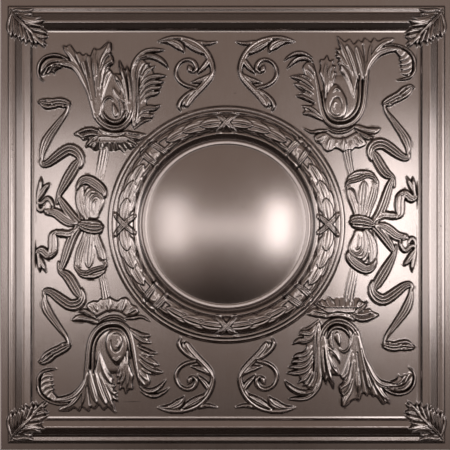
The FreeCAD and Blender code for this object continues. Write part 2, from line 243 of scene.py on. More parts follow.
def in_quarter(turn, nudges=()):
    """Puts a path into the quarter that turn names; each nudge moves what is near it a little."""

    def place(path):
        moved = path.copy()
        for x, y, reach, move_x, move_y in nudges:
            pull = np.exp(-((path[:, 0] - x) ** 2 + (path[:, 1] - y) ** 2) / reach ** 2)
            moved[:, 0] += pull * move_x
            moved[:, 1] += pull * move_y
        moved[:, 0] *= turn[0]
        moved[:, 1] *= turn[1]
        return moved

    return place, turn[0] * turn[1]


def on_wreath(eighth):
    """Puts a path on the wreath: X runs round it from a ribbon crossing, Y out from its middle line."""
    crossing = math.radians(90) * (eighth // 2)
    hand = 1 - 2 * (eighth % 2)

    def place(path):
        moved = path.copy()
        angle = crossing + hand * path[:, 0] / wreath_middle_radius
        radius = wreath_middle_radius + path[:, 1]
        moved[:, 0] = radius * np.cos(angle)
        moved[:, 1] = radius * np.sin(angle)
        return moved

    return place, -hand


def press_band(relief, where, height, flutes, points, groove=0.28, crown=0.35, wall=2.0, rise=(1, 1, 1)):
    """A raised band; its points give X, Y, half width and, if it isn't level, the share of its height."""
    place_path, hand = where
    path = place_path(curve_through(points))
    path[:, 2] = np.maximum(path[:, 2], least_half_width)
    rows, columns, distance, side, place = near_curve(relief, path, path[:, 2].max())
    width = np.interp(place, np.arange(len(path)), path[:, 2])
    across = np.clip(distance / width, 0, 1)
    rim = round_over((width - distance) / np.minimum(wall, width))
    slim = np.clip(width / slim_band, 0, 1) ** slim_band_fall
    if path.shape[1] > 3:
        height = height * np.interp(place, np.arange(len(path)), path[:, 3])
    height = height * np.interp(place / len(path), RISE_PLACES, rise)
    body = height * rim * slim * (1 - crown * across ** 2)
    if flutes > 1:
        signed = across * side * hand
        wave = np.abs(np.sin(np.pi * flutes * (signed + 1) / 2)) ** flute_fullness
        fade = np.clip(flute_edge - across ** 4, 0, 1)
        depth = groove * np.clip(width / (slim_flute * flutes), 0, 1) * fade
        body = body * (1 - depth * (1 - wave))
    here = relief.height[rows, columns]
    relief.height[rows, columns] = np.where(distance < width, np.maximum(here, body), here)


def press_patch(relief, where, height, points, wall=2.0, slope=(0, 0)):
    """A raised patch inside a closed outline; slope is its rise away from the tile's middle, in X and Y."""
    place_path, _ = where
    path = place_path(curve_through(points, closed=True))
    rows, columns, distance, _, _ = near_curve(relief, path, wall)
    x = relief.axis[None, columns]
    y = relief.axis[rows, None]
    inside = np.zeros(distance.shape, bool)
    for start, end in zip(path, path[1:]):
        if start[1] != end[1]:
            spans = (y > min(start[1], end[1])) & (y <= max(start[1], end[1]))
            crossing = start[0] + (y - start[1]) * (end[0] - start[0]) / (end[1] - start[1])
            inside ^= spans & (x > crossing)
    middle = path[:, :2].mean(0)
    turn = np.sign(middle)
    top = height + turn[0] * slope[0] * (x - middle[0]) + turn[1] * slope[1] * (y - middle[1])
    body = round_over(distance / wall) * top
    here = relief.height[rows, columns]
    relief.height[rows, columns] = np.where(inside, np.maximum(here, body), here)


def press_vein(relief, where, height, points):
    """Raises a soft ridge on what is pressed already, or sinks a crease where the height is below 0."""
    place_path, _ = where
    path = place_path(curve_through(points))
    path[:, 2] = np.maximum(path[:, 2], least_half_width)
    rows, columns, distance, _, place = near_curve(relief, path, path[:, 2].max())
    width = np.interp(place, np.arange(len(path)), path[:, 2])
    slim = np.clip(width / slim_vein, 0, 1)
    body = height * slim * np.clip(1 - (distance / width) ** 2, 0, 1) ** 1.5
    here = relief.height[rows, columns]
    relief.height[rows, columns] = np.maximum(here + body * np.clip(here / low_ground, 0, 1), 0)


def blurred(values, cells):
    """The raster smoothed by a bell of that many cells."""
    reach = int(3 * cells) + 1
    taps = np.exp(-0.5 * (np.arange(-reach, reach + 1) / cells) ** 2)
    taps = taps / taps.sum()
    for _ in range(2):
        padded = np.pad(values, ((reach, reach), (0, 0)), mode="edge")
        values = sum(tap * padded[index:index + len(values)] for index, tap in enumerate(taps)).T
    return np.ascontiguousarray(values)


def band(height, flutes, *points, **more):
    return press_band, dict(height=height, flutes=flutes, points=points, **more)


def patch(height, *points, **more):
    return press_patch, dict(height=height, points=points, **more)


def veins(height, *lines):
    return [(press_vein, dict(height=height, points=line)) for line in lines]


# The ornament of one quarter of the tile: X and Y out from its middle lines, then a band's half width.
# What is pressed later lies on top where it is higher; veins are cut into what is there already.
LEAF_RISE = (0.7, 1.15, 0.7)   # shares of a leaf's height at its root, three quarters on and at its tip
OUTER_FROND = [
    patch(3.2, (250.5, 202), (250.5, 211), (247, 218), (240, 223.5), (231, 225), (221, 223.5), (211, 221),
          (216, 215), (226, 213.5), (233, 213), (240, 211.5), (246, 208), slope=(0.1, 0.1), wall=1.4),
    patch(2.4, (248, 194.5), (251, 202), (250, 209), (244, 212), (236, 214), (226, 214.5), (222, 212),
          (229, 208.5), (231.5, 204), (232.5, 202.2), (234.2, 204.5), (237.5, 206), (240.5, 202.5),
          (243.8, 203.5), slope=(0, 0.34), wall=1),
    band(4.4, 1, (246, 192.5, 0.5), (251.5, 197.5, 1.4), (254, 205, 1.9), (253.5, 213, 2.1),
         (250, 220, 2.3), (244, 225.5, 2.3), (236, 228, 2.3), (228, 228, 2.3), (221, 226, 2),
         (213, 221.5, 1.4)),
    band(4.2, 3, (231, 214.5, 0.8), (224, 216.5, 3), (215, 216.8, 5), (206, 213.5, 4.8), (199, 206, 4.4),
         (193.5, 196, 4.0), (189.5, 187, 3.2), (186, 178, 2.4), (183.5, 170, 1.8), (181.5, 162, 1.4),
         (180, 152, 1)),
]
OUTER_FROND += veins(
    1.1,
    [(248.5, 204, 1), (243, 213, 1.6), (236, 218.5, 1.6), (226, 220, 1)],
    [(244, 205, 1), (239, 212.5, 1.5), (232, 216, 1.5), (224, 217.5, 1)],
    [(238, 207, 0.8), (233.5, 212, 1.3), (226, 214, 1)],
)
OUTER_FROND += veins(
    -1.3,
    [(246.5, 204, 0.8), (241.5, 213, 1.3), (234, 217.5, 1.3), (226, 219, 1)],
    [(241, 205, 0.8), (236.5, 211.5, 1.3), (229, 215, 1.2)],
)
CUP = [
    band(3.8, 1, (180, 158, 0.8), (177.5, 149, 1.8), (173.5, 140.5, 2.4), (167, 134, 2.6),
         (159, 129.3, 2.6), (150.5, 127.7, 2.6), (142, 129.5, 2.6), (135.5, 134, 2.6), (130.5, 140, 2.4),
         (127.3, 148, 2.1), (125.3, 157, 1.8), (124.2, 170, 1.4)),
    band(4.2, 1, (176, 154, 0.6), (172.5, 146, 1.9), (168, 139.5, 2.3), (162, 135, 2.4),
         (156, 132.8, 2.4), (150.5, 132, 2.4), (146, 132.2, 2.4), (140, 134.5, 2.3), (134.5, 140, 2.2),
         (131, 147, 1.9), (129, 156, 1.2)),
    band(4.4, 1, (168, 155, 0.8), (164.5, 147.5, 2), (159.5, 141.5, 2.5), (151, 138, 2.8),
         (143.5, 139.5, 2.6), (138.5, 145, 2.3), (135.8, 152.5, 1.4)),
    patch(1.3, (173, 150), (171, 165), (168, 182), (163, 198), (157, 205), (151, 203), (146, 200),
          (138, 196), (131, 180), (129, 160), (133, 146), (142, 138), (151, 136), (162, 139), wall=3),
    band(3.4, 1, (153.5, 165.5, 0.5), (152, 160, 2.4), (149.8, 152, 4.2), (149.2, 147.5, 3.4),
         (149.5, 143.5, 0.6), wall=1.4),
    band(4.2, 2, (146.5, 172, 0.6), (143, 166, 2.4), (140.5, 157, 3.2), (141, 148.5, 1.8),
         (144, 143, 0.6)),
    band(3.8, 1, (166.5, 152, 0.8), (167, 161, 1.8), (163.5, 168.5, 2.1), (158, 171.5, 1.9),
         (153.5, 169, 1.4), (151.5, 165, 0.6)),
    band(3.2, 3, (153, 189, 0.6), (152, 183, 2.2), (148.5, 176, 3.6), (143, 170, 4), (137.5, 166, 2.6),
         (134.5, 160, 0.8), groove=0.4),
    band(3.0, 2, (139.5, 187, 0.5), (141, 180, 2), (141, 173, 2.6), (138, 166, 1.4)),
]
LEFT_LEAF = [
    patch(3.0, (178, 142), (183, 158), (187, 172), (191, 185), (196, 197), (202, 208), (208, 217),
          (213, 225), (218, 233), (220.5, 241.5), (216, 240), (211, 242.5), (206, 236), (201, 231),
          (198.5, 233), (195, 229), (192, 228.5), (189.5, 231), (186.5, 228), (183, 228.5), (180.5, 235),
          (178, 238.5), (175.5, 235.5), (171, 236.5), (165, 242), (159, 246.5), (158, 240), (155.5, 235),
          (157.5, 231.5), (154, 230.5), (157.5, 226), (156, 224), (152.5, 222), (156.5, 217), (155, 214),
          (159.5, 211), (155.5, 207.5), (154, 203), (157.5, 195), (160.5, 187), (163.5, 178), (166, 168),
          (168, 155), (170.5, 146), wall=2.2),
    band(4.0, 2, (195, 205, 1), (200, 213.5, 2.4), (206, 222, 3.3), (212, 230, 3.6), (217, 236, 2.6),
         (219.5, 240.5, 0.6), rise=LEAF_RISE, wall=3),
    band(4.2, 2, (184, 176, 1.5), (187, 192, 3), (190, 205, 4.2), (193, 216, 4.6), (196, 224, 3),
         (197.5, 230, 0.8), rise=LEAF_RISE, wall=3.5),
    band(4.6, 3, (175, 160, 1.5), (175.5, 180, 3.5), (176.5, 200, 5), (177.5, 214, 6), (178, 226, 4),
         (177.5, 234, 1), rise=LEAF_RISE, wall=4.5),
    patch(3.7, (182, 214), (180, 226), (175.5, 231), (176, 236), (170, 236.5), (163, 241), (156.5, 245.5),
          (155.5, 238), (156.5, 231), (153.5, 226), (152.5, 218), (157, 213), (161, 204), (166, 192),
          (170, 178), (174, 168), (178, 188), (181, 202), slope=(-0.15, 0.01), wall=1.8),
    band(4.4, 2, (167, 176, 1), (165.5, 188, 2.4), (163, 198, 3.2), (159, 204.5, 2.6), (155.5, 207, 0.8),
         rise=LEAF_RISE, wall=2.6),
]
LEFT_LEAF += veins(
    0.9,
    [(214, 238, 1), (207, 227, 1.8), (199, 214, 1.8), (192, 200, 1.6), (187, 186, 1)],
    [(192, 224, 1), (190, 214, 2), (188, 200, 1.8), (184.5, 184, 1.6), (181, 168, 1.4), (178, 152, 1)],
    [(158, 243, 0.8), (162, 234, 1.4), (168, 224, 1.8), (171, 212, 1.6), (172, 198, 1.6),
     (172.5, 184, 1.2)],
    [(155, 231, 0.8), (160, 226, 1.5), (165.5, 219, 1.6), (169, 209, 1.2)],
    [(153, 221, 0.8), (158, 217, 1.6), (164, 213, 1.6), (168, 203, 1.4), (169.5, 190, 1.4),
     (170.5, 176, 1)],
    [(155.5, 207, 0.8), (160, 204, 1.5), (163.5, 196, 1.6), (166, 184, 1.4), (168, 170, 1)],
    [(174, 234, 1), (175, 224, 1.8), (175, 212, 1.6), (174.5, 200, 1)],
)
LEFT_LEAF += veins(
    -1.3,
    [(205, 235, 1), (202, 224, 1.5), (196, 211, 1.5), (190, 198, 1.5), (186, 185, 1.4), (182, 168, 1)],
    [(189, 228, 1), (188, 218, 1.5), (186, 208, 1.8), (184, 198, 1.2)],
    [(183.5, 228, 1.6), (182.5, 218, 1.8), (181, 206, 1.4), (179, 190, 1.2), (176, 172, 1)],
    [(157, 226.5, 1.2), (162, 222, 1.4), (166, 215, 1)],
    [(156.5, 213.5, 1.5), (162, 209, 1.6), (165.5, 200, 1.3), (167.5, 188, 1)],
    [(157.5, 231.5, 1), (163, 227, 1)],
)
MIDDLE_LEAF = [
    patch(2.8, (133, 150), (137, 165), (141, 178), (146, 187), (151, 196), (152.5, 203), (147, 203.5),
          (143.5, 203), (145, 213), (144.5, 222), (140, 214), (136.5, 208.5), (134.5, 214.5),
          (131.5, 209), (129, 203), (127.5, 190), (126.5, 170), (127, 152), wall=2.4),
    band(4.6, 2, (137.5, 172, 1), (141, 184, 2.6), (145.5, 193, 3.2), (149.5, 199.5, 2.4),
         (151.5, 203, 0.8), rise=LEAF_RISE, wall=3),
    band(4.2, 2, (133, 155, 2), (134.5, 172, 3.4), (137, 188, 4), (139.5, 201, 3.6), (142.5, 213, 1.8),
         (144, 220.5, 0.5), rise=LEAF_RISE, wall=4),
    band(4.0, 2, (129, 155, 1.5), (129.5, 175, 2.6), (131, 192, 3), (133, 204, 2.2), (134, 212, 0.6),
         rise=LEAF_RISE, wall=3),
]
MIDDLE_LEAF += veins(
    0.9,
    [(151, 202, 0.8), (146, 196.5, 1.5), (141.5, 188, 1.6), (138.5, 176, 1.5), (136, 162, 1)],
    [(143.5, 217, 0.8), (140, 205, 1.5), (137, 194, 1.5), (134.5, 180, 1.5), (132.5, 164, 1.2)],
    [(134, 210, 0.8), (132, 198, 1.4), (130.5, 182, 1.4), (130, 164, 1)],
)
MIDDLE_LEAF += veins(
    -1.3,
    [(149.5, 193.5, 1.2), (144.5, 190.5, 1.5), (140.5, 182, 1.3), (138, 170, 1)],
    [(136.5, 207, 1.2), (134.8, 198, 1.4), (132.8, 184, 1.2), (131.5, 168, 1)],
    [(143, 203, 1.2), (140.5, 197, 1.2)],
)
INNER_FROND = [
    patch(2.6, (127, 132), (128, 150), (128, 175), (128.5, 195), (129.5, 208), (126.5, 216), (120, 222),
          (112, 222), (107, 217), (103, 212), (99, 207), (97, 199), (95, 192), (96, 184), (98, 177),
          (104, 171), (108, 165), (106, 157), (104, 151), (107, 145), (113, 141), (120, 134), wall=3),
    band(4.4, 2, (126, 190, 1), (127.5, 205, 1.6), (125, 217, 2.6), (118, 226.6, 3.2),
         (109.5, 232.8, 3.4), (100, 234.8, 3.2), (91, 235, 2.4), (84, 235.5, 0.5)),
    band(5.2, 3, (121, 218, 1), (115, 224.5, 2.6), (107, 227, 3.6), (98, 226, 4.0), (90, 222.5, 3.8),
         (84, 217.5, 3.0), (80, 212.5, 1), (79, 210.5, 0.3)),
    band(3.8, 4, (124.5, 129, 0.8), (121.5, 140, 2.6), (120, 152, 3.8), (120, 165, 4.6),
         (120.5, 180, 5.2), (120.5, 195, 5.6), (119.5, 207, 5.2), (116.5, 218, 3), wall=4),
    band(4.6, 2, (116.5, 199, 2), (113, 207, 3.4), (109, 213, 3.2), (103.5, 217, 0.8)),
    band(4.4, 2, (113.5, 195, 1.6), (110, 202.5, 2.8), (104.5, 208.5, 3), (96.5, 213.5, 0.6)),
    band(4.6, 2, (116, 184, 2), (111, 192.5, 3.4), (103, 198, 4), (92, 199.8, 3.4), (81.5, 200.5, 0.5)),
    band(4.4, 2, (115.5, 178, 2), (110, 186, 3.2), (102, 190.8, 3.8), (93, 191.5, 3.4), (84, 192.5, 0.5)),
    band(4.2, 2, (114.5, 172, 2), (109, 179.5, 3), (101, 183.4, 3.4), (93, 184.2, 2.8), (87, 187, 0.5)),
    band(4.0, 2, (114.5, 164, 2), (110, 171.5, 3.2), (103, 175.7, 3.6), (96, 176.7, 3), (89.6, 180, 0.5)),
    band(4.2, 3, (118.5, 146, 1.8), (113, 154, 3.8), (105, 156.5, 4.6), (97, 157, 3.6), (89.3, 161, 0.5)),
    band(4.0, 2, (119.5, 141, 1.5), (113.5, 146.4, 3.2), (107, 146.4, 4.2), (102, 146.2, 3.4),
         (98, 149, 0.6)),
    band(3.2, 1, (124.5, 128.5, 0.6), (118, 134.5, 1.3), (112, 139, 2), (107, 141, 1.6), (101, 141, 0.4)),
]
INNER_FROND += veins(
    0.8,
    [(125.5, 212, 1), (124.5, 196, 1.6), (124.2, 178, 1.5), (123.5, 160, 1.5), (123.5, 142, 1)],
    [(114, 217, 1), (118, 205, 1.8), (119.5, 190, 1.8), (119, 172, 1.8), (119.5, 154, 1.6),
     (122, 136, 1)],
    [(107, 217, 0.8), (112, 208, 1.5), (115.5, 196, 1.4), (116.5, 182, 1)],
)
INNER_FROND += veins(
    -1.1,
    [(122, 215, 1), (122.3, 200, 1.5), (122, 184, 1.5), (121.5, 166, 1.3), (121.5, 148, 1)],
    [(111, 216, 1), (115, 206, 1.4), (117.5, 192, 1.4), (117.5, 176, 1)],
)
CALYX = [
    patch(2.3, (181, 111), (176, 112.5), (164, 112.5), (150, 112.5), (136, 112.5), (128, 110), (121, 106),
          (126, 104), (129.5, 100.5), (133.5, 103), (136.8, 96), (141.5, 99.5), (145.5, 101.5),
          (150, 98.3), (154.5, 98.2), (159, 95.5), (163.5, 93.2), (167.5, 99.5), (172, 101),
          (177.5, 98.2), (182, 103), (185.5, 106), slope=(0, 0.34), wall=1.2),
    patch(4.0, (173, 118), (164, 119.5), (150, 118.5), (138, 119.5), (130, 116), (132, 112), (140, 110.2),
          (150, 109.6), (160, 110.2), (170, 111.5), slope=(0, 0.2), wall=1.6),
    patch(2.6, (206, 121.5), (199, 126.5), (191, 130.5), (182, 131.5), (174, 128.5), (166, 124),
          (160, 119), (164, 115), (172, 113.5), (179, 108), (184, 106), (190.5, 103.5), (188, 110),
          (185, 115.5), (190, 114), (194, 113.5), (197, 117.5), wall=2.6),
    patch(2.6, (109, 121.3), (116, 123), (125, 124.6), (134, 127), (140, 124), (142, 118), (136, 114),
          (128, 111), (121.5, 107.5), (125, 113), (119, 112.5), (113, 116), wall=2.6),
    band(3.8, 1, (205.5, 121.8, 0.5), (198, 124.5, 2.4), (190, 127.5, 3.2), (182, 128.5, 3),
         (173, 125.8, 2.4), wall=2.6),
    band(3.8, 1, (198, 118, 0.6), (192, 119, 2.6), (185, 121.5, 3.4), (177, 121.5, 3), (170, 119.5, 1.5),
         wall=2.6),
    band(4.0, 1, (176, 119, 1.5), (181, 115, 2.6), (185.5, 109.5, 3), (189.5, 104.5, 0.8), wall=2.6),
    band(3.8, 1, (170, 117, 2), (174.5, 111.5, 3.4), (178, 106, 3), (180, 101, 0.6), wall=2.6),
    band(3.6, 2, (172, 129.5, 1.2), (165, 124.3, 3), (156, 121.5, 3.8), (148, 121, 3.8),
         (140, 122.2, 3.4), (134.5, 125.5, 1.5)),
    band(4.9, 1, (165, 110.2, 0.8), (157, 110.2, 1.3), (148, 110.4, 1.3), (139, 110.4, 1.3),
         (131, 111.5, 0.8)),
    band(4.4, 1, (173, 116, 0.8), (169.5, 112.5, 1.6), (167, 108.5, 2), (167, 103.5, 1.6),
         (167.5, 100, 0.5)),
    band(4.2, 1, (146, 109.5, 0.8), (143.5, 105, 1.5), (140.5, 100.5, 1.3), (137.8, 97.4, 0.5)),
    band(3.6, 1, (138, 124.5, 1.5), (129, 123, 2.6), (120, 121.8, 2.6), (109.5, 121.3, 0.5), wall=2.4),
    band(3.6, 1, (136, 119.5, 1.5), (129, 118, 2.6), (121, 116.5, 2.4), (113.5, 116.5, 0.5), wall=2.4),
    band(3.8, 1, (136, 115.5, 1.5), (130.5, 113.8, 2.6), (125.5, 111, 2.4), (121, 107.8, 0.6), wall=2.4),
]
CALYX += veins(
    0.5,
    [(163.5, 109, 1.6), (163.5, 94.5, 0.8)],
    [(156.5, 109, 1.6), (156, 98.5, 1)],
    [(149.5, 109, 1.6), (149.8, 99, 1)],
    [(133, 110, 1.4), (129.5, 101.5, 0.8)],
    [(128, 109, 1.2), (122.5, 106, 0.8)],
    [(176, 111, 1.4), (178, 99.5, 0.8)],
)
CALYX += veins(
    -1.2,
    [(160, 109, 0.9), (160, 97, 1.1)],
    [(153, 109, 0.9), (152.5, 99, 1.1)],
    [(147, 109, 0.9), (146, 102, 1.1)],
    [(138, 110, 0.8), (134, 103.5, 1.1)],
    [(130, 110, 0.8), (126, 104, 1)],
    [(171, 111, 0.8), (172.5, 101.5, 1.1)],
    [(198, 121, 0.8), (190, 123.5, 1.4), (181, 125, 1.4), (174, 123, 1)],
    [(189, 116, 0.8), (183, 118, 1.2), (177, 118.5, 1)],
)
CALYX += veins(
    -1.0,
    [(170, 125.5, 0.8), (160, 120.8, 1.1), (150, 119.5, 1.2), (140, 120.3, 1.1), (134, 123.5, 0.8)],
)
STEM = [
    band(2.5, 3, (165, 101, 6, 1), (166.5, 92, 6, 1), (168.5, 81, 5.8, 0.85), (170.3, 71, 5.4, 0.55),
         (171.5, 62, 4.8, 0.15), wall=1.5, groove=0.8),
]
# The spray and calyx of the lower left quarter, which the upper right one repeats half a turn round.
OTHER_SPRAY = [
    band(3.4, 1, (175, 134, 0.8), (168, 128.5, 1.5), (160, 125, 1.8), (152, 123.8, 1.8),
         (144, 125.2, 1.8), (136.5, 129.5, 0.8)),
    band(4.0, 2, (190, 208, 2.5), (187.5, 190, 3.5), (186, 172, 3.5), (183.5, 157, 3.5),
         (177.5, 144.5, 3.5), (168, 136, 3.5), (157, 132.5, 3.4), (146, 132.8, 3.4), (137, 137.5, 3.4),
         (131, 146, 3.4), (127.5, 158, 3.2), (125, 172, 3), (122.5, 188, 2.6), (119.5, 203, 2),
         (117.5, 215, 0.8)),
    band(4.2, 2, (181, 205, 1.5), (180.5, 188, 2.2), (179.5, 170, 2.4), (176.5, 157, 2.4),
         (170, 147, 2.4), (161, 141, 2.2), (152, 139.5, 2), (143, 141.5, 2), (137, 147.5, 2),
         (133, 157, 1.8), (131, 168, 1.4), (129.5, 180, 0.8)),
    band(4.2, 3, (187, 200, 2), (190, 212, 4), (196, 223, 5.5), (206, 232, 5.5), (219, 236, 4.6),
         (232, 236, 3), (240, 232, 0.8)),
    band(4.2, 1, (212, 241, 0.6), (224, 242, 1.6), (236, 239.5, 2), (246, 233.5, 2.2), (252.5, 225, 2.2),
         (254.5, 215, 2.1), (253, 205.5, 2), (248, 199, 2), (240, 196.2, 1.8), (230, 194.5, 0.5)),
    patch(2.8, (250, 207), (250, 222), (244, 231), (236, 236), (228, 234), (231, 229), (234, 225),
          (233, 221), (236, 218.5), (233, 216), (236.5, 213), (234, 210.5), (238, 207.5), (235, 204.5),
          (240, 201), (246, 200.5), slope=(0.12, 0.1), wall=1.4),
]
OTHER_SPRAY += veins(
    -1.0,
    [(251, 207.5, 0.8), (246.5, 202.5, 1.3), (240, 200.5, 0.9)],
    [(251, 214.5, 0.8), (246, 208.5, 1.4), (237, 206, 0.9)],
    [(250, 221.5, 0.8), (245, 215, 1.4), (235.5, 213, 0.9)],
    [(247, 228, 0.8), (242, 221.5, 1.4), (234, 219.5, 0.9)],
    [(242, 233, 0.8), (238, 226.5, 1.3), (233, 224, 0.9)],
)
OTHER_LEAF = [
    patch(2.6, (190, 206), (196, 228), (207, 239), (222, 245), (226, 251), (214, 251.5), (205, 247.5),
          (199, 251.5), (195, 246), (190, 249.5), (186, 251.5), (183, 246), (178, 249), (172, 243.5),
          (166, 250), (160, 246.5), (155, 250.5), (149, 254), (152.5, 244), (154, 237), (147, 236.5),
          (151, 230.5), (147, 226.5), (152, 222), (150, 217), (156, 214), (153, 208), (158, 200),
          (163, 190), (168, 177), (172, 172), (176, 190), (179, 200), wall=2.2),
    band(4.4, 2, (189, 208, 1.5), (192, 222, 3), (193, 233, 3), (195, 242, 2), (198, 249.5, 0.5)),
    band(4.2, 2, (191, 215, 1.5), (200, 232, 3.2), (211, 243, 3), (224, 250, 0.5)),
    band(4.6, 3, (184, 196, 2), (182.5, 212, 4), (179, 226, 5), (176, 236, 3.5), (173, 241.5, 0.8)),
    band(4.8, 3, (177, 196, 1.8), (173.5, 212, 4), (169, 226, 4.8), (163.5, 238, 3.2), (160, 244.5, 0.6)),
    band(4.4, 2, (171, 200, 1.5), (166, 214, 3.4), (160.5, 228, 4), (155, 241, 2.6), (150, 252, 0.5)),
    band(4.2, 2, (166, 208, 1.2), (160, 217, 2.8), (154, 225.5, 2.8), (147.5, 231.5, 0.5)),
    band(4.4, 3, (170.5, 174, 0.8), (168, 188, 2.2), (163.5, 200, 3.6), (158, 209, 3.6), (152, 217, 0.6)),
]
OTHER_LEAF += veins(
    -1.4,
    [(187, 218, 1), (185.5, 230, 1.6), (184, 242, 1.4)],
)
DROP = [
    patch(1.2, (178, 160), (178, 180), (172, 192), (160, 200), (146, 200), (136, 194), (131, 180),
          (133, 155), (142, 143), (152, 140.5), (163, 143), (172, 150), wall=7),
    patch(3.7, (150, 141.5), (141, 144), (134, 152), (132.5, 164), (135, 176), (141, 186), (147, 190),
          (152, 187), (157, 180), (162, 170), (163.5, 158), (161, 148), (156, 143), wall=5),
    band(4.8, 1, (149, 152, 1.2), (144.5, 158, 2.2), (146, 164.5, 2.2), (151, 161, 1.2), wall=1.4),
    band(4.7, 1, (143, 178, 2), (147.5, 183, 2.8), (152.5, 180, 2)),
    patch(2.4, (139, 187), (144, 195), (148.5, 205), (145, 206), (148, 214), (143.5, 214.5), (145, 222.5),
          (139, 221), (136, 228.5), (132, 223), (126.5, 222), (127, 212), (125.5, 204), (129, 196),
          (133, 189), wall=1.8),
    band(3.6, 2, (141, 178, 1.2), (142, 188, 2.2), (144.5, 197, 2.4), (148, 204.5, 0.6)),
    band(3.8, 2, (139.5, 177, 1.2), (140, 190, 2.2), (142.5, 203, 2.6), (147, 213, 0.6)),
    band(4.0, 2, (137.5, 176, 1.4), (137, 190, 2.6), (138.5, 206, 3), (144, 221.5, 0.6)),
    band(4.0, 2, (134, 172, 1.2), (133.5, 190, 2.6), (133, 207, 3.2), (136, 227, 0.6)),
    band(3.4, 1, (132.5, 186, 1), (129.3, 203, 2.2), (127.5, 221, 0.6)),
]
DROP += veins(
    -1.3,
    [(155.5, 157, 1), (154.5, 165.5, 1.3), (150, 170.5, 1.3), (144, 168, 1.3), (140.5, 160, 1.3),
     (141.5, 151, 1.3), (146, 146.5, 1.3), (152, 147.5, 1)],
)
FEATHERS = [
    patch(2.4, (131, 140), (122, 143), (113, 146), (103, 149), (106, 154), (102, 160.5), (112, 160),
          (118, 163), (108, 167), (94, 173.5), (106, 177), (97, 183), (91, 190), (98, 192), (86, 199.5),
          (99, 202), (106, 200), (103, 212), (109, 219), (117, 217), (121, 200), (124, 180), (126, 160),
          wall=2.6),
    band(4.2, 2, (129, 141, 1), (121, 146, 3), (112, 150, 2.6), (103, 149.5, 0.5)),
    band(4.4, 2, (127, 146, 1.2), (119, 152.5, 3.4), (111, 157.5, 2.8), (102.5, 160, 0.5)),
    band(4.0, 1, (122, 163, 0.8), (113, 167.5, 2.6), (104, 171.5, 2.6), (94.5, 174, 0.5)),
    band(3.6, 1, (119, 170, 0.8), (110, 175.5, 2), (99, 177.5, 0.5)),
    band(4.2, 2, (119, 175, 1), (110, 181, 3), (101, 186.5, 2.6), (91.5, 190, 0.5)),
    band(4.4, 2, (118.5, 182, 1.2), (110, 190, 3.2), (99, 196.5, 2.8), (86.5, 199.5, 0.5)),
    band(3.8, 1, (117, 192, 1), (108, 198.5, 2.2), (97, 202.5, 0.5)),
    band(4.2, 2, (118, 196, 1.2), (112.5, 205, 2.6), (104, 212, 0.5)),
    band(4.4, 2, (120, 200, 1.4), (115.5, 210, 2.8), (108, 219, 0.6)),
    band(4.4, 2, (116, 219, 1), (108, 224, 2.8), (98, 223.5, 3.2), (89, 218, 2.6), (82, 210, 0.5)),
    band(4.2, 2, (115, 225, 1), (105, 230, 2.6), (94, 230.5, 2.8), (84, 226, 2), (78, 221, 0.5)),
]
OTHER_CALYX = [
    band(2.4, 3, (162.5, 99, 5.6, 1), (164.5, 88, 4.8, 1), (166.5, 77, 4.4, 0.9), (168.5, 69, 4, 0.6),
         wall=1.2, groove=0.8),
    patch(2.8, (174, 129), (184, 125), (195, 121.5), (203, 123), (208, 129.5), (200, 130.5), (190, 131),
          (180, 134), (174, 134), wall=2),
    band(3.8, 2, (174, 130, 1.2), (186, 127.5, 3.2), (197, 126, 3), (207, 129.5, 0.5), groove=0.5),
    band(3.8, 3, (175, 127, 1), (184, 121, 3.4), (192, 117, 3.4), (199.5, 117.5, 0.5), groove=0.45),
    patch(2.6, (176, 124), (182, 119), (188, 112), (187.5, 107), (183, 104.5), (178.5, 103),
          (173.5, 103.5), (170, 100), (166, 100.5), (162.5, 99.5), (157.5, 98.5), (153, 100.5),
          (149, 102.5), (145.5, 102.5), (143, 100), (137, 98.8), (131.5, 101.5), (128, 107.5),
          (121.5, 111), (118.5, 118), (124, 122.5), (134, 123.5), (144, 117.5), (152, 116), (161, 117),
          (168, 120.5), wall=1.6),
    band(3.8, 2, (176, 122, 1), (181.5, 115, 3.2), (186, 109, 1)),
    band(3.8, 2, (172, 120, 1), (176, 111, 3.2), (179, 104.5, 1.2)),
    band(3.8, 1, (167, 117, 1), (168.5, 108, 2), (169, 101, 1)),
    band(4.0, 2, (158, 116, 2), (158.3, 108, 4.6), (158, 100.5, 3)),
    band(3.6, 1, (148.5, 116, 1), (148, 109, 2.2), (147.5, 103.5, 1)),
    band(4.0, 2, (141, 117, 2), (138.5, 109, 4.4), (137, 101, 3)),
    band(4.0, 2, (133, 121, 1.5), (127, 115, 3.6), (121, 114, 1.5)),
    band(3.6, 2, (137, 127, 1), (126, 126, 2.4), (115, 124.5, 2), (103.5, 130, 0.5)),
]
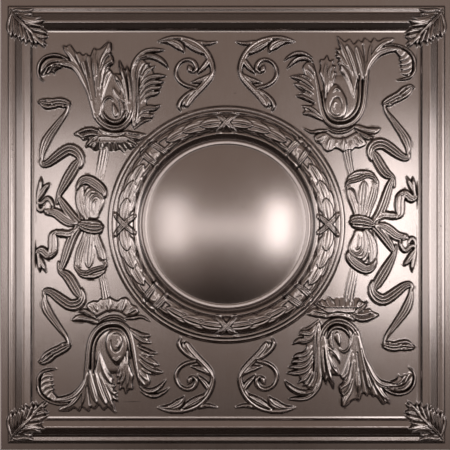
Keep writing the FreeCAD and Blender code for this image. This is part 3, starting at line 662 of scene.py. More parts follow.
SCROLL = [
    band(3.8, 2, (60, 250.5, 2.6), (52, 248.5, 4), (43, 244.8, 4.4), (34.5, 239, 4.6), (27, 231, 4.6),
         (21.5, 221, 4.2), (18.8, 211, 3.6), (19, 202, 2.4)),
    band(3.6, 1, (93, 247, 0.5), (85, 249.3, 2), (76, 251.3, 2.8), (66, 251.8, 3.2), (56, 251, 2.4),
         (46, 248, 1)),
    band(3.2, 2, (44, 247, 2), (33, 245, 2.8), (24, 244.3, 2.6), (17, 245.6, 1.8), (12, 246.8, 0.4)),
    band(4.2, 3, (90, 246, 0.6), (82, 246.6, 2.5), (74, 245.8, 4.5), (66, 242.3, 6), (60.5, 238, 4.5),
         (57.3, 231.6, 0.5)),
    band(4.6, 3, (62, 249, 1), (54, 244.5, 3.5), (46, 240, 5), (38, 235.8, 4.6), (31, 231.3, 2.8),
         (27.5, 227, 0.5)),
    band(2.8, 1, (34, 182.5, 1.6), (45, 184.8, 2.4), (54, 187.2, 2.6), (62, 192, 2.6), (67, 199, 2.6),
         (68, 207, 2.5), (65, 215, 2.4), (59, 220.5, 2.4), (52, 222.3, 2.6), (45.5, 220.3, 2.9),
         (41.3, 215, 3.1), (41, 209.5, 2.8), (44, 205.6, 2)),
    band(3.6, 1, (52, 215, 0.6), (50, 212, 3), (48.6, 208.5, 3.8), (47, 205, 1.2)),
    band(4.0, 2, (23.5, 224, 2), (26, 218, 3.8), (30, 212.5, 3.9), (35, 207.5, 2.6), (39, 203, 0.5)),
    band(3.8, 3, (18.5, 206, 2), (21.5, 199.5, 4), (27, 192.5, 4.6), (33, 186, 4.6), (39.5, 179.5, 4.6),
         (46, 173, 5), (51, 167, 5.2), (53.5, 162, 4), (54.3, 157.5, 0.6)),
    band(4.0, 2, (24, 201, 2), (31, 196, 3.6), (38, 193.6, 3.4), (43, 192.3, 2), (47.8, 191.7, 0.4)),
    band(3.8, 1, (38, 182, 2), (47, 178.5, 3), (56, 172.5, 3), (62.5, 165, 3), (64, 159, 2.6),
         (61.5, 152.5, 0.5)),
    band(3.8, 1, (54, 171, 1), (57, 166, 1.8), (58.5, 161.5, 1.6), (57.5, 157.5, 0.5)),
]
RIBBON = [
    band(3.2, 3, (212, 165, 1.5), (213.5, 158, 2.2), (216.5, 150, 2.8), (223.5, 140.5, 3.8),
         (231, 130.5, 4.8), (238, 121, 5.6), (243.5, 111.5, 6.2), (247, 102, 5), (249, 93, 3.2),
         (249, 86, 2.0), groove=0.5),
    band(3.6, 3, (254.8, 164.5, 0.6), (250, 165, 4.2), (243, 163, 7.5), (235, 163, 7), (227, 164.5, 6.5),
         (219, 163.5, 6.5), (213, 162, 4), (210.5, 161, 0.8), groove=0.5),
    band(3.4, 3, (250, 90, 1.5), (249.5, 84, 3.2), (246, 81, 4.4), (239, 83.5, 5.4), (230.5, 90, 6.6),
         (222, 96.5, 7.2), (213, 101.3, 7.4), (204.5, 99.5, 7.6), (197.5, 92.5, 6), (195.5, 84, 3.6),
         (197, 77, 2), groove=0.5),
    band(3.4, 3, (198.5, 88, 2.5), (203, 80.5, 6), (208.5, 71.5, 7), (215, 60.5, 6.8), (220.5, 50.5, 5.4),
         (225, 42, 3.8), (228, 34, 2.2), (228.5, 28, 1.5), groove=0.5),
    band(3.2, 3, (227, 39, 2), (222.5, 31, 4.5), (215.5, 20.5, 6), (207, 10, 6), (198, 1, 5.5),
         groove=0.5),
]
RIBBON += veins(
    -1.2,
    [(244, 165.5, 0.8), (241, 167.5, 1.2), (237, 167.3, 1.2), (234.5, 165, 1.2), (236, 161.8, 1.2),
     (240, 160.7, 1.2), (244, 162.5, 1), (244.5, 165, 0.8)],
    [(231.5, 161, 0.8), (227, 158.5, 1.2), (220.5, 159.5, 1.2), (217, 161.5, 0.8)],
)
BOW = [
    band(4.2, 4, (201, 46, 1.5), (199.5, 52, 3.5), (194, 58.5, 5.8), (187, 60, 6.5), (179.5, 56.5, 7.2),
         (172, 51, 6.8), (166.5, 45, 5.5), (164.5, 39.5, 3), (165.5, 35, 1)),
    band(2.8, 4, (189, 8, 3), (193.5, 18, 5.5), (196, 28, 7), (197, 38, 6.5), (196, 47, 4.5),
         (193, 52, 1.5)),
    patch(2.0, (183, 8), (189, 12), (192, 25), (192, 40), (187, 50), (178, 48), (168, 41), (164.5, 34),
          (166.5, 24), (171, 15), (174, 8)),
    band(3.4, 2, (185.5, 9, 1.6), (187.7, 24, 2.6), (187.5, 36, 3.2), (183, 43.5, 3), (176.5, 43.5, 2.4),
         (170, 40, 1.8), (166.5, 35, 1)),
    band(3.4, 1, (182, 9, 1), (183.5, 23, 1.7), (182.5, 33, 2), (178, 38.7, 2), (172, 37.8, 2),
         (168, 32.4, 1.8), (169, 25, 1.6), (172.5, 16, 1.3), (175, 9, 0.8)),
    band(3.2, 1, (178, 12, 1.4), (179.5, 22, 2.4), (178.5, 30, 2.6), (175.5, 33, 1.8), (174, 29.5, 1.2),
         (175.5, 22, 0.8)),
    band(2.6, 4, (198, 8, 1.5), (201, 20, 0.8), (203, 34, 0.8), (202.5, 45, 0.8), (201, 50, 0.6)),
]
LOWER_BOW = [
    patch(2.0, (184, 6), (190, 11), (196, 26), (201, 42), (203.5, 55), (201, 64), (193, 70.5),
          (184, 71.5), (174, 69.5), (166, 65), (162, 57), (162, 48), (165, 36), (170, 24), (175, 12),
          (178, 6)),
    band(3.0, 3, (189, 8, 2.5), (193, 24, 4.5), (197, 36, 5.5), (199.5, 47, 5), (199.5, 55, 3.5),
         (195, 58.5, 1.2), groove=0.5),
    band(3.6, 3, (182, 7, 3), (183, 24, 5.5), (184.5, 40, 7), (185.5, 52, 6), (185.5, 58, 2), groove=0.5),
    band(3.0, 2, (176, 8, 2), (171.5, 25, 4), (167.5, 37, 4.6), (165.5, 47, 4), (166, 53, 1.5),
         groove=0.5),
    band(3.9, 2, (204, 50, 0.8), (203, 57, 2.4), (197, 64, 3.6), (188, 65.5, 4), (180, 62, 4),
         (172, 59.5, 4), (165, 57, 3.2), (161.5, 50, 0.8), groove=0.5),
    band(3.2, 2, (203, 60, 0.8), (196, 68, 2.6), (187, 70, 3), (177, 69.5, 3), (168, 66, 2.2),
         (163, 60, 0.6)),
]
LOWER_BOW += veins(
    -1.6,
    [(177, 30, 1), (174.5, 38, 1.4), (172, 45, 1.4), (168, 48.5, 1.4), (164, 48, 1)],
)
KNOT = [
    band(5.0, 4, (199.5, 1, 2), (195.5, 0, 6.5), (188, -2.3, 9.2), (180, -3.7, 10), (173, -3.8, 9.4),
         (169, -3.2, 7), (167.4, -3, 2)),
]
UPPER_TAIL = [
    patch(2.2, (238, 19), (235.5, 28), (240, 33), (244.9, 30), (248.4, 28), (247, 22), (243.5, 18)),
    band(3.4, 4, (199, 1.5, 3), (206, 2, 4.8), (213.5, 4, 6.5), (221, 9, 7), (229, 15, 6.5),
         (237, 17, 5.5), (242.4, 17.5, 4.5), (244.9, 20, 1.5)),
    band(3.8, 2, (234, 19, 1), (234.5, 26, 2.4), (237, 32, 3.2), (241.1, 35, 3.4), (244.9, 32.5, 3.2),
         (248.8, 29, 3), (252.6, 29, 2.8), (255.4, 33, 2)),
    band(3.4, 2, (244.9, 27, 2), (246.7, 22, 2.8), (249.8, 18.8, 3), (253.3, 21, 3), (255.4, 27, 2.6)),
    band(3.4, 1, (254.7, 34, 2.2), (252.9, 44, 3), (251.2, 52, 3), (250.4, 58, 2.4), (250.2, 64, 0.4)),
    band(3.6, 2, (254, 34, 2.2), (250.5, 40.5, 4.2), (246.7, 46.5, 4.2), (242.8, 51.5, 3.4),
         (239, 55, 0.8)),
]
LOWER_TAIL = [
    band(3.4, 2, (199, 5, 3), (206, 10, 4.6), (213, 13.2, 5.4), (220, 12.2, 5), (226, 12, 5),
         (230, 13, 2)),
    band(3.6, 2, (229, 9, 2.5), (233.5, 14, 5.5), (234, 22, 6.6), (234, 30, 6.6), (236, 38, 6),
         (240.7, 42, 4.5)),
    band(3.8, 3, (229, 33, 1.5), (233, 38.5, 4), (240, 41.5, 5.8), (244.2, 39, 6), (248.4, 35.5, 6),
         (252.6, 36, 5), (255.8, 38, 3)),
    band(3.4, 1, (254.7, 38, 2.2), (252.9, 46, 3), (251.9, 56, 3), (251.6, 64, 0.5)),
    band(3.4, 2, (252.6, 44, 2.2), (249.4, 50.5, 3.4), (246.7, 57, 3), (243.5, 64.5, 0.5)),
]
CORNER_LEAF = [
    patch(1.6, (290, 287), (276, 286), (266, 285), (261, 281), (256, 275), (250, 270), (248, 262),
          (246, 256), (246, 248), (249, 244.5), (258, 245.5), (266, 246.5), (274, 249), (281, 254),
          (287, 259), (290.5, 268), (291.5, 279), wall=3),
    band(3.4, 1, (288, 288, 1.5), (281, 289, 2.6), (273, 288.2, 3), (266, 288.4, 2.6), (260.5, 291, 0.6)),
    band(3.6, 1, (287, 285, 1), (279, 284, 2.6), (271, 282.8, 3), (265.5, 283.2, 2.6),
         (261.5, 283.8, 0.8)),
    band(3.8, 2, (283, 282, 1.5), (275, 279.5, 3.2), (267, 276.5, 3.8), (259, 275.2, 3.6),
         (253.5, 276.5, 2.4), (249, 279, 0.5)),
    band(3.8, 2, (274, 275.5, 2), (267, 272.5, 3), (259, 270.8, 3.4), (251, 271.5, 3), (246, 273.2, 1.8),
         (242.5, 272.5, 0.4)),
    band(3.8, 1, (270, 270, 1.5), (263, 267.5, 3), (256, 266.3, 3), (250, 265.8, 2), (246, 265, 0.5)),
    band(3.8, 2, (264, 263.5, 1.5), (258, 261.5, 2.8), (252, 260.8, 3), (246.5, 259, 2.4),
         (241.5, 257.8, 0.5)),
    band(3.8, 2, (259, 257.5, 1.5), (254, 254.8, 3), (249.5, 253.2, 3.4), (245, 252.8, 2.8),
         (240.5, 253.8, 0.5)),
    band(3.6, 1, (254, 250, 1.5), (250, 247, 2.8), (246.5, 244.5, 2.6), (242.5, 242.5, 0.5)),
    band(3.4, 1, (290, 284, 1.5), (293, 276, 2.4), (294.5, 268, 2.6), (293.8, 262, 2.2),
         (292, 256.5, 0.6)),
    band(3.6, 1, (288.5, 280, 1.5), (289.7, 271, 2.2), (290.2, 263, 2.4), (290.5, 256.5, 2.2),
         (290, 252, 0.6)),
    band(3.8, 1, (286.5, 278, 1.5), (286.5, 270, 2.6), (285.5, 262, 2.8), (284.5, 255, 2.4),
         (285, 249.5, 0.5)),
    band(3.8, 2, (284, 274, 1.5), (282, 266, 3), (280, 259, 3.6), (278.5, 253, 3.2), (277.5, 248, 0.6)),
    band(3.8, 1, (278, 270, 1.5), (276.5, 262, 3), (274.5, 255, 3.2), (273.3, 249.5, 2.9),
         (274.5, 243.5, 0.5)),
    band(4.0, 1, (273, 266, 1.2), (270.8, 258, 2.2), (269, 251, 2.4), (268.5, 245.5, 2.1),
         (269.5, 241, 0.5)),
    band(4.0, 1, (268.5, 262.5, 1), (265.5, 256, 2), (263.3, 250, 2.2), (261.8, 245.5, 2.2),
         (262, 240.5, 0.5)),
    band(4.0, 1, (262.5, 256.5, 1), (259, 251, 2), (256.8, 246, 2.4), (257, 239.5, 0.5)),
    band(4.8, 2, (291, 289, 1), (284, 279.5, 2.2), (276, 271.8, 2.8), (268, 264, 2.8),
         (261.5, 257.5, 2.6), (255, 250, 2.6), (249.5, 243.5, 2.2), (245, 239, 0.6)),
]
# Where RIBBON bends elsewhere in the other quarters: X and Y of a bend, its reach, its move in X and Y
RIBBON_MOVES = [(228, 34, 25, -2, 24), (198, 86, 30, -2, 11), (249, 86, 22, -4, 8), (252, 165, 22, -1, 20)]

# The ornament of the wreath: X runs round it from a ribbon crossing, Y out from its middle line
CROSSING_EDGE = dict(wall=1.1, groove=0.45, crown=0.15)
CROSSING = [
    band(3.7, 3, (12.5, -12.8, 3, 0.5), (5, -5, 3.6, 0.95), (0, 0, 3.6, 1), (-5, 5, 3.6, 0.95),
         (-12.5, 12.8, 3, 0.5), **CROSSING_EDGE),
    band(2.9, 3, (-12.5, -12.8, 3, 0.6), (-5, -5, 3.6, 1), (0, 0, 3.6, 1), (5, 5, 3.6, 1),
         (12.5, 12.8, 3, 0.6), **CROSSING_EDGE),
]
TIE_EDGE = dict(wall=1.2, groove=0.55, crown=0.15)
TIE = [
    band(1.0, 1, (109.5, 9, 10), (109, 0, 10), (108.5, -9, 10), wall=3, crown=0),
    band(2.8, 3, (103, 15, 3.4), (100.6, 7, 4.2), (98.5, -1.5, 4.2), (95.5, -14, 3.4), **TIE_EDGE),
    band(2.8, 3, (116, 15, 3.4), (118.6, 7, 4.2), (119.2, -1.5, 4.2), (118, -14, 3.4), **TIE_EDGE),
    band(2.0, 1, (105.5, 4, 1), (109, 5, 1.4), (112.5, 2, 1.3), (110, -1, 1.4), (106, -3, 1.2),
         (109, -7, 1.2), (105, -9.5, 0.8), wall=1.2),
]
# Points of laurel leaves: X on from the leaves' start, Y, half width and share of height
UNDER_LEAF = [(0, 5, 2.6, 0.5), (8, 7.4, 4.4, 0.7), (16, 8.4, 4.2, 0.9), (24, 7.8, 3, 1.1)]
OVER_LEAF = [
    (-11, 0, 3, 0.3), (-6, 0, 6, 0.5), (1, 0, 7.8, 0.8), (9, 0, 7.4, 1), (15, 0, 5, 1.1), (21, 0, 0.4, 1.15),
]
LEAF_RIB = [(-7, 0, 1), (5, 0, 1.3), (19, 0, 0.8)]


def moved_on(points, start, side=1):
    """Points moved on round the wreath; side 1 keeps them outside its middle line, -1 puts them inside."""
    return [(start + x, side * y, *more) for x, y, *more in points]


def laurel(start):
    """Three laurel leaves round a place on the wreath: one on each side and one over both."""
    forms = []
    for side, reach in ((1, 33), (-1, 31)):
        under = UNDER_LEAF + [(reach, 5.8, 0.4, 1.2)]
        forms.append(band(1.7, 2, *moved_on(under, start, side), wall=1.2, crown=0.2, groove=0.4))
    forms.append(band(2.2, 3, *moved_on(OVER_LEAF, start), wall=1.2, crown=0.15, groove=0.35))
    return forms + veins(0.7, moved_on(LEAF_RIB, start))


LAUREL = laurel(66) + laurel(41) + laurel(16)


def press_all(relief, where, forms):
    for press, sizes in forms:
        press(relief, where, **sizes)


def bury_border(relief, turn):
    """Melts the border's members together under a corner leaf, so that the leaf lies on one swell."""
    near, far = half_tile - corner_reach, half_tile
    rows, columns = relief.window((near, near), (far, far))
    if turn[0] < 0:
        columns = slice(len(relief.axis) - columns.stop, len(relief.axis) - columns.start)
    if turn[1] < 0:
        rows = slice(len(relief.axis) - rows.stop, len(relief.axis) - rows.start)
    x, y = np.meshgrid(relief.axis[columns], relief.axis[rows])
    plain = sheet_height(x, y)
    covered = (relief.height[rows, columns] > cover_height).astype(float)
    cover = blurred(covered, cover_softness / relief.step)
    relief.height[rows, columns] += cover * (blurred(plain, corner_softness / relief.step) - plain)


def press_ornament():
    """The whole ornament as one relief over the plain sheet."""
    relief = Relief(raster_step)
    spray = LEFT_LEAF + MIDDLE_LEAF + INNER_FROND + STEM + CALYX + CUP + OUTER_FROND
    other_spray = OTHER_LEAF + OTHER_CALYX + OTHER_SPRAY + FEATHERS + DROP
    for turn in QUARTERS.values():
        where = in_quarter(turn)
        press_all(relief, where, SCROLL + CORNER_LEAF)
        if turn[0] * turn[1] < 0:
            press_all(relief, where, spray + RIBBON + BOW + UPPER_TAIL + KNOT)
        else:
            press_all(relief, where, other_spray)
            press_all(relief, in_quarter(turn, RIBBON_MOVES), RIBBON)
            press_all(relief, where, LOWER_BOW + LOWER_TAIL)
        bury_border(relief, turn)
    for eighth in range(8):
        press_all(relief, on_wreath(eighth), LAUREL)
        if eighth % 2 == 0:
            press_all(relief, on_wreath(eighth), TIE + CROSSING)
    relief.height = blurred(relief.height, press_softness / raster_step)
    return relief


class Front:
    """The pressed front: height and upward normal anywhere on the tile."""

    def __init__(self, relief):
        self.relief = relief
        self.rise_x = np.gradient(relief.height, relief.step, axis=1)
        self.rise_y = np.gradient(relief.height, relief.step, axis=0)
        self.shade = self.find_creases()

    def find_creases(self):
        """How deep in a crease or how far up a steep wall each place lies, from 0 to 1; this is the share of
        painted shade there.
        """
        axis = self.relief.axis.astype(float)
        height = sheet_height(*np.meshgrid(axis, axis)) + self.relief.height
        sunk = (blurred(height, crease_reach / self.relief.step) - height) / crease_depth
        slope = np.hypot(*np.gradient(height, self.relief.step))
        steep = np.clip((slope - gentle_slope) / (steep_slope - gentle_slope), 0, 1)
        return np.clip(np.clip(sunk, 0, 1) + steep_share * steep, 0, 1).astype(np.float32)

    def uneven(self, x, y, size):
        """How far the ornament strays from smooth cells of one size that have their middles at x, y."""
        reach = np.linspace(-0.5, 0.5, samples_across) * size
        heights = np.array([
            [self.relief.sample(self.relief.height, x + across, y + up) for across in reach]
            for up in reach
        ])
        up = np.linspace(0, 1, samples_across)[:, None, None]
        across = np.linspace(0, 1, samples_across)[None, :, None]
        left = heights[:1, :1] * (1 - up) + heights[-1:, :1] * up
        right = heights[:1, -1:] * (1 - up) + heights[-1:, -1:] * up
        smooth = left * (1 - across) + right * across
        return np.abs(heights - smooth).max(axis=(0, 1))

    def height(self, x, y):
        return sheet_height(x, y) + self.relief.sample(self.relief.height, x, y)

    def normal(self, x, y):
        reach = section_step
        rise_x = (sheet_height(x + reach, y) - sheet_height(x - reach, y)) / (2 * reach)
        rise_y = (sheet_height(x, y + reach) - sheet_height(x, y - reach)) / (2 * reach)
        rise_x = rise_x + self.relief.sample(self.rise_x, x, y)
        rise_y = rise_y + self.relief.sample(self.rise_y, x, y)
        normal = np.stack([-rise_x, -rise_y, np.ones_like(x)], axis=1)
        return normal / np.linalg.norm(normal, axis=1, keepdims=True)


def refine(mesh, front, size, limit):
    """Halves the cells of a grid wherever the ornament strays from them by more than the limit."""
    middles = np.array([face.calc_center_median()[:2] for face in mesh.faces])
    wanted = front.uneven(middles[:, 0], middles[:, 1], size) > limit
    edges = {edge for face, near in zip(mesh.faces, wanted) if near for edge in face.edges}
    bmesh.ops.subdivide_edges(mesh, edges=list(edges), cuts=1, use_grid_fill=True)


def field_quarter(turn, front):
    """The flat field of one quarter, from the border to the rosette, fine only under the ornament."""
    reach = half_tile - border_width
    mesh = bmesh.new()
    bmesh.ops.create_grid(mesh, x_segments=field_cells, y_segments=field_cells, size=reach / 2)
    bmesh.ops.translate(mesh, verts=mesh.verts, vec=(turn[0] * reach / 2, turn[1] * reach / 2, 0))
    size = reach / field_cells
    near_rosette = rosette_radius + 2 * size
    for limit in stray_limits:
        refine(mesh, front, size, limit)
        size /= 2
    inside = [face for face in mesh.faces if face.calc_center_median().length < rosette_radius]
    bmesh.ops.delete(mesh, geom=inside, context="FACES")
    steps = [
        edge for edge in mesh.edges
        if edge.is_boundary and max(vert.co.length for vert in edge.verts) < near_rosette
        and not all(abs(vert.co.x) < line_tolerance for vert in edge.verts)
        and not all(abs(vert.co.y) < line_tolerance for vert in edge.verts)
    ]
    for vert in {vert for edge in steps for vert in edge.verts}:
        vert.co *= rosette_radius / vert.co.length
    return mesh


def ring(inner, outer, rows, steps):
    """A flat ring of quads about the tile's middle."""
    mesh = bmesh.new()
    bmesh.ops.create_grid(mesh, x_segments=rows, y_segments=1, size=0.5)
    bmesh.ops.delete(mesh, geom=[vert for vert in mesh.verts if vert.co.y > 0], context="VERTS")
    for vert in mesh.verts:
        vert.co = (inner + (outer - inner) * (vert.co.x + 0.5), 0, 0)
    line = mesh.verts[:] + mesh.edges[:]
    bmesh.ops.spin(mesh, geom=line, cent=(0, 0, 0), axis=(0, 0, 1), angle=math.tau, steps=steps,
                   use_merge=True, use_duplicate=False)
    bmesh.ops.remove_doubles(mesh, verts=mesh.verts, dist=merge_distance)
    return mesh


def border_side(turns):
    """One straight run of the border between two corner leaves."""
    mesh = bmesh.new()
    bmesh.ops.create_grid(mesh, x_segments=side_cells, y_segments=border_cells, size=0.5)
    for vert in mesh.verts:
        vert.co.x *= 2 * corner_start
        vert.co.y = half_tile - border_width * (vert.co.y + 0.5)
    quarter_turns = Matrix.Rotation(turns * math.pi / 2, 3, "Z")
    bmesh.ops.rotate(mesh, verts=mesh.verts, cent=(0, 0, 0), matrix=quarter_turns)
    return mesh


def border_corner(turn):
    """A corner of the border with the strip of field that its leaf reaches."""
    inner = half_tile - border_width
    strip_cells = corner_cells - border_cells
    knots = [0, strip_cells / corner_cells, 1]
    mesh = bmesh.new()
    bmesh.ops.create_grid(mesh, x_segments=corner_cells, y_segments=corner_cells, size=0.5)
    for vert in mesh.verts:
        vert.co.x = turn[0] * np.interp(vert.co.x + 0.5, knots, [corner_start, inner, half_tile])
        vert.co.y = turn[1] * np.interp(vert.co.y + 0.5, knots, [corner_start, inner, half_tile])
    middles = [(face, face.calc_center_median()) for face in mesh.faces]
    field = [face for face, middle in middles if abs(middle.x) < inner and abs(middle.y) < inner]
    bmesh.ops.delete(mesh, geom=field, context="FACES")
    return mesh


def thicken(mesh):
    """Gives a flat mesh a back and, one unit over it, a front."""
    flat = mesh.faces[:]
    lifted = bmesh.ops.extrude_face_region(mesh, geom=flat, use_keep_orig=True)["geom"]
    lifted = [item for item in lifted if isinstance(item, bmesh.types.BMVert)]
    bmesh.ops.translate(mesh, verts=lifted, vec=(0, 0, 1))
    bmesh.ops.recalc_face_normals(mesh, faces=mesh.faces)
    for face in mesh.faces:
        face.smooth = True


def press_mesh(data, front):
    """Moves a piece's front to the pressed height and its back one thickness behind it."""
    place = np.empty(len(data.vertices) * 3)
    data.vertices.foreach_get("co", place)
    place = place.reshape(-1, 3)
    on_front = place[:, 2] > 0.5
    x, y = place[:, 0], place[:, 1]
    normal = front.normal(x, y)
    pressed = np.stack([x, y, front.height(x, y) + sheet_thickness], axis=1)
    pressed -= normal * sheet_thickness * ~on_front[:, None]
    data.vertices.foreach_set("co", (pressed * MILLIMETRE).ravel())
    data.update()
    facing = np.where(on_front[:, None], normal, -normal)
    smooth_normals(data, facing, on_front)
    # Painted shade: how dark each front vertex is painted in creases and on steep walls
    painted_shade = data.attributes.new("painted_shade", "FLOAT", "POINT")
    painted_shade.data.foreach_set("value", front.relief.sample(front.shade, x, y) * on_front)


def smooth_normals(data, facing, on_front):
    """Front and back take the pressed surface's own normals; the cut edge between them keeps its faces'."""
    corners = np.empty(len(data.loops), int)
    data.loops.foreach_get("vertex_index", corners)
    sizes = np.empty(len(data.polygons), int)
    data.polygons.foreach_get("loop_total", sizes)
    flat = np.empty(len(data.polygons) * 3)
    data.polygons.foreach_get("normal", flat)
    owner = np.repeat(np.arange(len(sizes)), sizes)
    ups = np.bincount(owner, weights=on_front[corners])
    cut = (ups > 0) & (ups < sizes)
    normals = np.where(cut[owner][:, None], flat.reshape(-1, 3)[owner], facing[corners])
    data.normals_split_custom_set(normals.tolist())


def mesh_data(name, mesh):
    data = bpy.data.meshes.new(name)
    mesh.to_mesh(data)
    mesh.free()
    return data


def add_object(name, data, place=(0, 0, 0)):
    made = bpy.data.objects.new(name, data)
    made.location = place
    bpy.context.collection.objects.link(made)
    return made


def make_piece(name, mesh, front, material):
    """One visible piece of the tile, pressed from a flat mesh."""
    thicken(mesh)
    data = mesh_data(name, mesh)
    press_mesh(data, front)
    data.materials.append(material)
    piece = add_object(name, data)
    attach(piece, "root")
    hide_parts("ceiling_tile")


class Socket:
    """A value in a shader: arithmetic on it adds the Math nodes."""

    def __init__(self, shader, link):
        self.shader = shader
        self.link = link

    def _math(self, operation, *values):
        return self.shader.node("ShaderNodeMath", {"operation": operation}, *values)

    def __add__(self, other):
        return self._math("ADD", self, other)

    __radd__ = __add__

    def __sub__(self, other):
        return self._math("SUBTRACT", self, other)

    def __rsub__(self, other):
        return self._math("SUBTRACT", other, self)

    def __mul__(self, other):
        return self._math("MULTIPLY", self, other)

    def __truediv__(self, other):
        return self._math("DIVIDE", self, other)

    def __abs__(self):
        return self._math("ABSOLUTE", self)

    def clamped(self):
        return self.shader.node("ShaderNodeClamp", {}, self)


class Shader:
    """The node tree of one material or of the world."""

    def __init__(self, owner):
        owner.use_nodes = True
        self.tree = owner.node_tree
        self.tree.nodes.clear()

    def node(self, kind, settings, *values, output=0, **named):
        """Adds a node: its settings first, then its sockets by order or by name."""
        made = self.tree.nodes.new(kind)
        for key, value in settings.items():
            setattr(made, key, value)
        for index, value in enumerate(values):
            self.plug(made.inputs[index], value)
        for key, value in named.items():
            self.plug(made.inputs[key.replace("_", " ")], value)
        return Socket(self, made.outputs[output]) if len(made.outputs) else None

    def plug(self, socket, value):
        if isinstance(value, Socket):
            self.tree.links.new(value.link, socket)
        elif value is not None:
            socket.default_value = value

    def noise(self, place, scale, detail):
        return self.node("ShaderNodeTexNoise", {}, Vector=place, Scale=scale, Detail=detail)

    def axes(self, place):
        """X, Y and Z of a place."""
        return [self.node("ShaderNodeSeparateXYZ", {}, place, output=axis) for axis in "XYZ"]

    def mix(self, share, first, second):
        """A colour between two colours."""
        made = self.tree.nodes.new("ShaderNodeMix")
        made.data_type = "RGBA"
        for socket, value in zip((made.inputs[0], made.inputs[6], made.inputs[7]), (share, first, second)):
            self.plug(socket, value)
        return Socket(self, made.outputs[2])


# Colours of the metal
dark_tin = (0.51, 0.43, 0.405, 1)
light_tin = (0.59, 0.54, 0.535, 1)
# Painted shade for the creases and steep walls
painted_crease_shade = (0.04, 0.028, 0.023, 1)
mark_colour = (0.10, 0.08, 0.07, 1)

# How the metal's finish varies
mottle_share = 0.6             # how much of the tone is mottling, and how much is brushing
brush_share = 0.4
brush_stretch = (1.0, 0.06, 1.0)    # the brushing runs up and down the tile
# How strongly the painted shade darkens creases and steep walls
painted_shade_strength = 1.1
mark_strength = 0.9
smoothest = 0.17               # least roughness

# Scratches and dents: X, Y, half length and half width in metres, then rise over run
MARKS = [
    (0.0224, 0.0229, 0.0051, 0.0008, -0.5),
    (0.0191, -0.0411, 0.0017, 0.0009, 0.2),
    (0.0116, 0.1774, 0.0022, 0.0008, 0.3),
    (-0.127, -0.2394, 0.014, 0.0007, 0.02),
    (0.2206, -0.0775, 0.0025, 0.0008, -0.8),
    (0.2894, -0.002, 0.0013, 0.0016, 0.0),
    (-0.232, 0.147, 0.004, 0.0007, 0.6),
]

# Colours of the studio
studio_north = (0.24, 0.19, 0.16, 1)
studio_south = (0.020, 0.014, 0.011, 1)
studio_low = (0.016, 0.011, 0.009, 1)
studio_wall = (0.72, 0.71, 0.70, 1)
floor_colour = (0.82, 0.81, 0.8, 1)
lamp_colour = (1, 0.975, 0.955)

# How the studio's light is spread
north_gain = 3.6               # how fast it grows to the north
side_gain = 1.1                # and to both sides
overhead_light = 1.36          # and its value straight above, before it is cut off at 1
low_edge = 0.25                # it is dark in directions that rise less than this
low_gain = 2.2                 # and comes up this fast above them

# Soft lamps: name, place and size in metres, power in watts
LAMPS = [
    ("box_left", (-0.66, 0.0, 1.7), (0.62, 0.34), 1.22),
    ("box_right", (0.665, -0.02, 1.7), (0.63, 0.32), 2.05),
    ("strip", (0.0, -0.03, 1.7), (0.9, 0.26), 0.8),
    ("side_left", (-1.5, 0.0, 1.15), (0.8, 1.2), 3.4),
    ("side_right", (1.5, 0.0, 1.15), (0.8, 1.2), 6.5),
]

# The floor and the camera straight above the tile, in metres; lens and sensor in millimetres
floor_half_width = 3
floor_drop = 0.0005
lens = 50.0
sensor = 36.0
camera_place = (-0.0019, -0.0007, 0.846)


def marked(shader, place):
    """How far a place lies in one of the marks."""
    east, north, _ = shader.axes(place)
    share = 0.0
    for x, y, length, width, slant in MARKS:
        along = abs(east - x + (north - y) * slant) / length
        across = abs(north - y - (east - x) * slant) / width
        share = share + (1.0 - along).clamped() * (1.0 - across).clamped()
    return share


def satin_tin():
    """Satin nickel-coloured tinplate: faint upright brushing, a wavy sheet, painted shade in the creases and
    on steep walls.
    """
    material = bpy.data.materials.new("satin_tin")
    shader = Shader(material)
    place = shader.node("ShaderNodeTexCoord", {}, output="Object")
    stretched = shader.node("ShaderNodeMapping", {}, Vector=place, Scale=brush_stretch)
    cloud = shader.noise(place, scale=14.0, detail=2.0)
    brushing = shader.noise(stretched, scale=700.0, detail=3.0)
    grain = shader.noise(place, scale=260.0, detail=3.0)
    wave = shader.noise(place, scale=9.0, detail=1.5)
    painted_shade = shader.node("ShaderNodeAttribute", {"attribute_name": "painted_shade"}, output="Fac")
    tone = (cloud * mottle_share + brushing * brush_share).clamped()
    colour = shader.mix(tone, dark_tin, light_tin)
    # Painted shade: the creases and steep walls are darkened towards near black
    colour = shader.mix((painted_shade * painted_shade_strength).clamped(), colour, painted_crease_shade)
    colour = shader.mix((marked(shader, place) * mark_strength).clamped(), colour, mark_colour)
    roughness = smoothest + cloud * 0.05 + brushing * 0.05 + grain * 0.03
    bump = shader.node("ShaderNodeBump", {}, Strength=0.25, Distance=0.002, Height=wave)
    fine = shader.node("ShaderNodeBump", {}, Strength=0.05, Distance=0.0002, Height=brushing + grain,
                       Normal=bump)
    surface = shader.node("ShaderNodeBsdfPrincipled", {}, Base_Color=colour, Metallic=1.0,
                          Roughness=roughness, Normal=fine)
    shader.node("ShaderNodeOutputMaterial", {}, surface)
    return material


def floor_finish():
    material = bpy.data.materials.new("pale_floor")
    shader = Shader(material)
    surface = shader.node("ShaderNodeBsdfPrincipled", {}, Base_Color=floor_colour, Roughness=0.7)
    shader.node("ShaderNodeOutputMaterial", {}, surface)
    return material


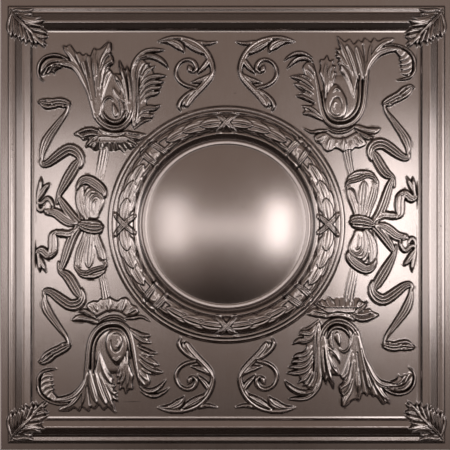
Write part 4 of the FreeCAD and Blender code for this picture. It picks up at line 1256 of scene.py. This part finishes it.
def make_floor():
    """The floor just under the tile, which belongs to the stage."""
    mesh = bmesh.new()
    bmesh.ops.create_grid(mesh, x_segments=1, y_segments=1, size=floor_half_width)
    data = mesh_data("floor", mesh)
    data.materials.append(floor_finish())
    floor = add_object("floor", data, (0, 0, -floor_drop))


def make_lamp(name, place, size, power):
    """A soft box that points at the tile."""
    data = bpy.data.lights.new(name, "AREA")
    data.shape = "RECTANGLE"
    data.size, data.size_y = size
    data.energy = power
    data.color = lamp_colour
    lamp = add_object(name, data, place)
    lamp.rotation_euler = (-Vector(place)).to_track_quat("-Z", "Y").to_euler()


def make_world():
    """The studio round the tile: dim above, darker to the south and near the floor; a pale wall if seen."""
    world = bpy.data.worlds.new("studio")
    bpy.context.scene.world = world
    shader = Shader(world)
    way = shader.node("ShaderNodeTexCoord", {}, output="Generated")
    east, north, up = shader.axes(way)
    lit = (north * north_gain + abs(east) * side_gain + overhead_light).clamped()
    overhead = shader.mix(lit, studio_south, studio_north)
    colour = shader.mix(((up - low_edge) * low_gain).clamped(), studio_low, overhead)
    seen = shader.node("ShaderNodeLightPath", {}, output="Is Camera Ray")
    surface = shader.node("ShaderNodeBackground", {}, shader.mix(seen, colour, studio_wall), 1.0)
    shader.node("ShaderNodeOutputWorld", {}, surface)


def make_camera():
    data = bpy.data.cameras.new("camera")
    data.lens = lens
    data.sensor_width = sensor
    data.sensor_height = sensor
    bpy.context.scene.camera = add_object("camera", data, camera_place)


# Rings of the rosette: name, inner and outer radius, rows of cells, cells round
RINGS = [
    ("rim", wreath_outer_radius, rosette_radius, 24, 360),
    ("wreath", wreath_inner_radius, wreath_outer_radius, 28, 900),
    ("throat", dome_radius, wreath_inner_radius, 26, 300),
    ("dome", 0, dome_radius, 24, 192),
]

front = Front(press_ornament())
tin = satin_tin()
for label, turn in QUARTERS.items():
    make_piece("field_" + label, field_quarter(turn, front), front, tin)
    make_piece("corner_" + label, border_corner(turn), front, tin)
for turns, label in enumerate("NWSE"):
    make_piece("border_" + label, border_side(turns), front, tin)
for name, inner, outer, rows, steps in RINGS:
    make_piece(name, ring(inner, outer, rows, steps), front, tin)

make_floor()
for lamp in LAMPS:
    make_lamp(*lamp)
make_world()
make_camera()
bpy.context.scene.view_settings.view_transform = "Standard"
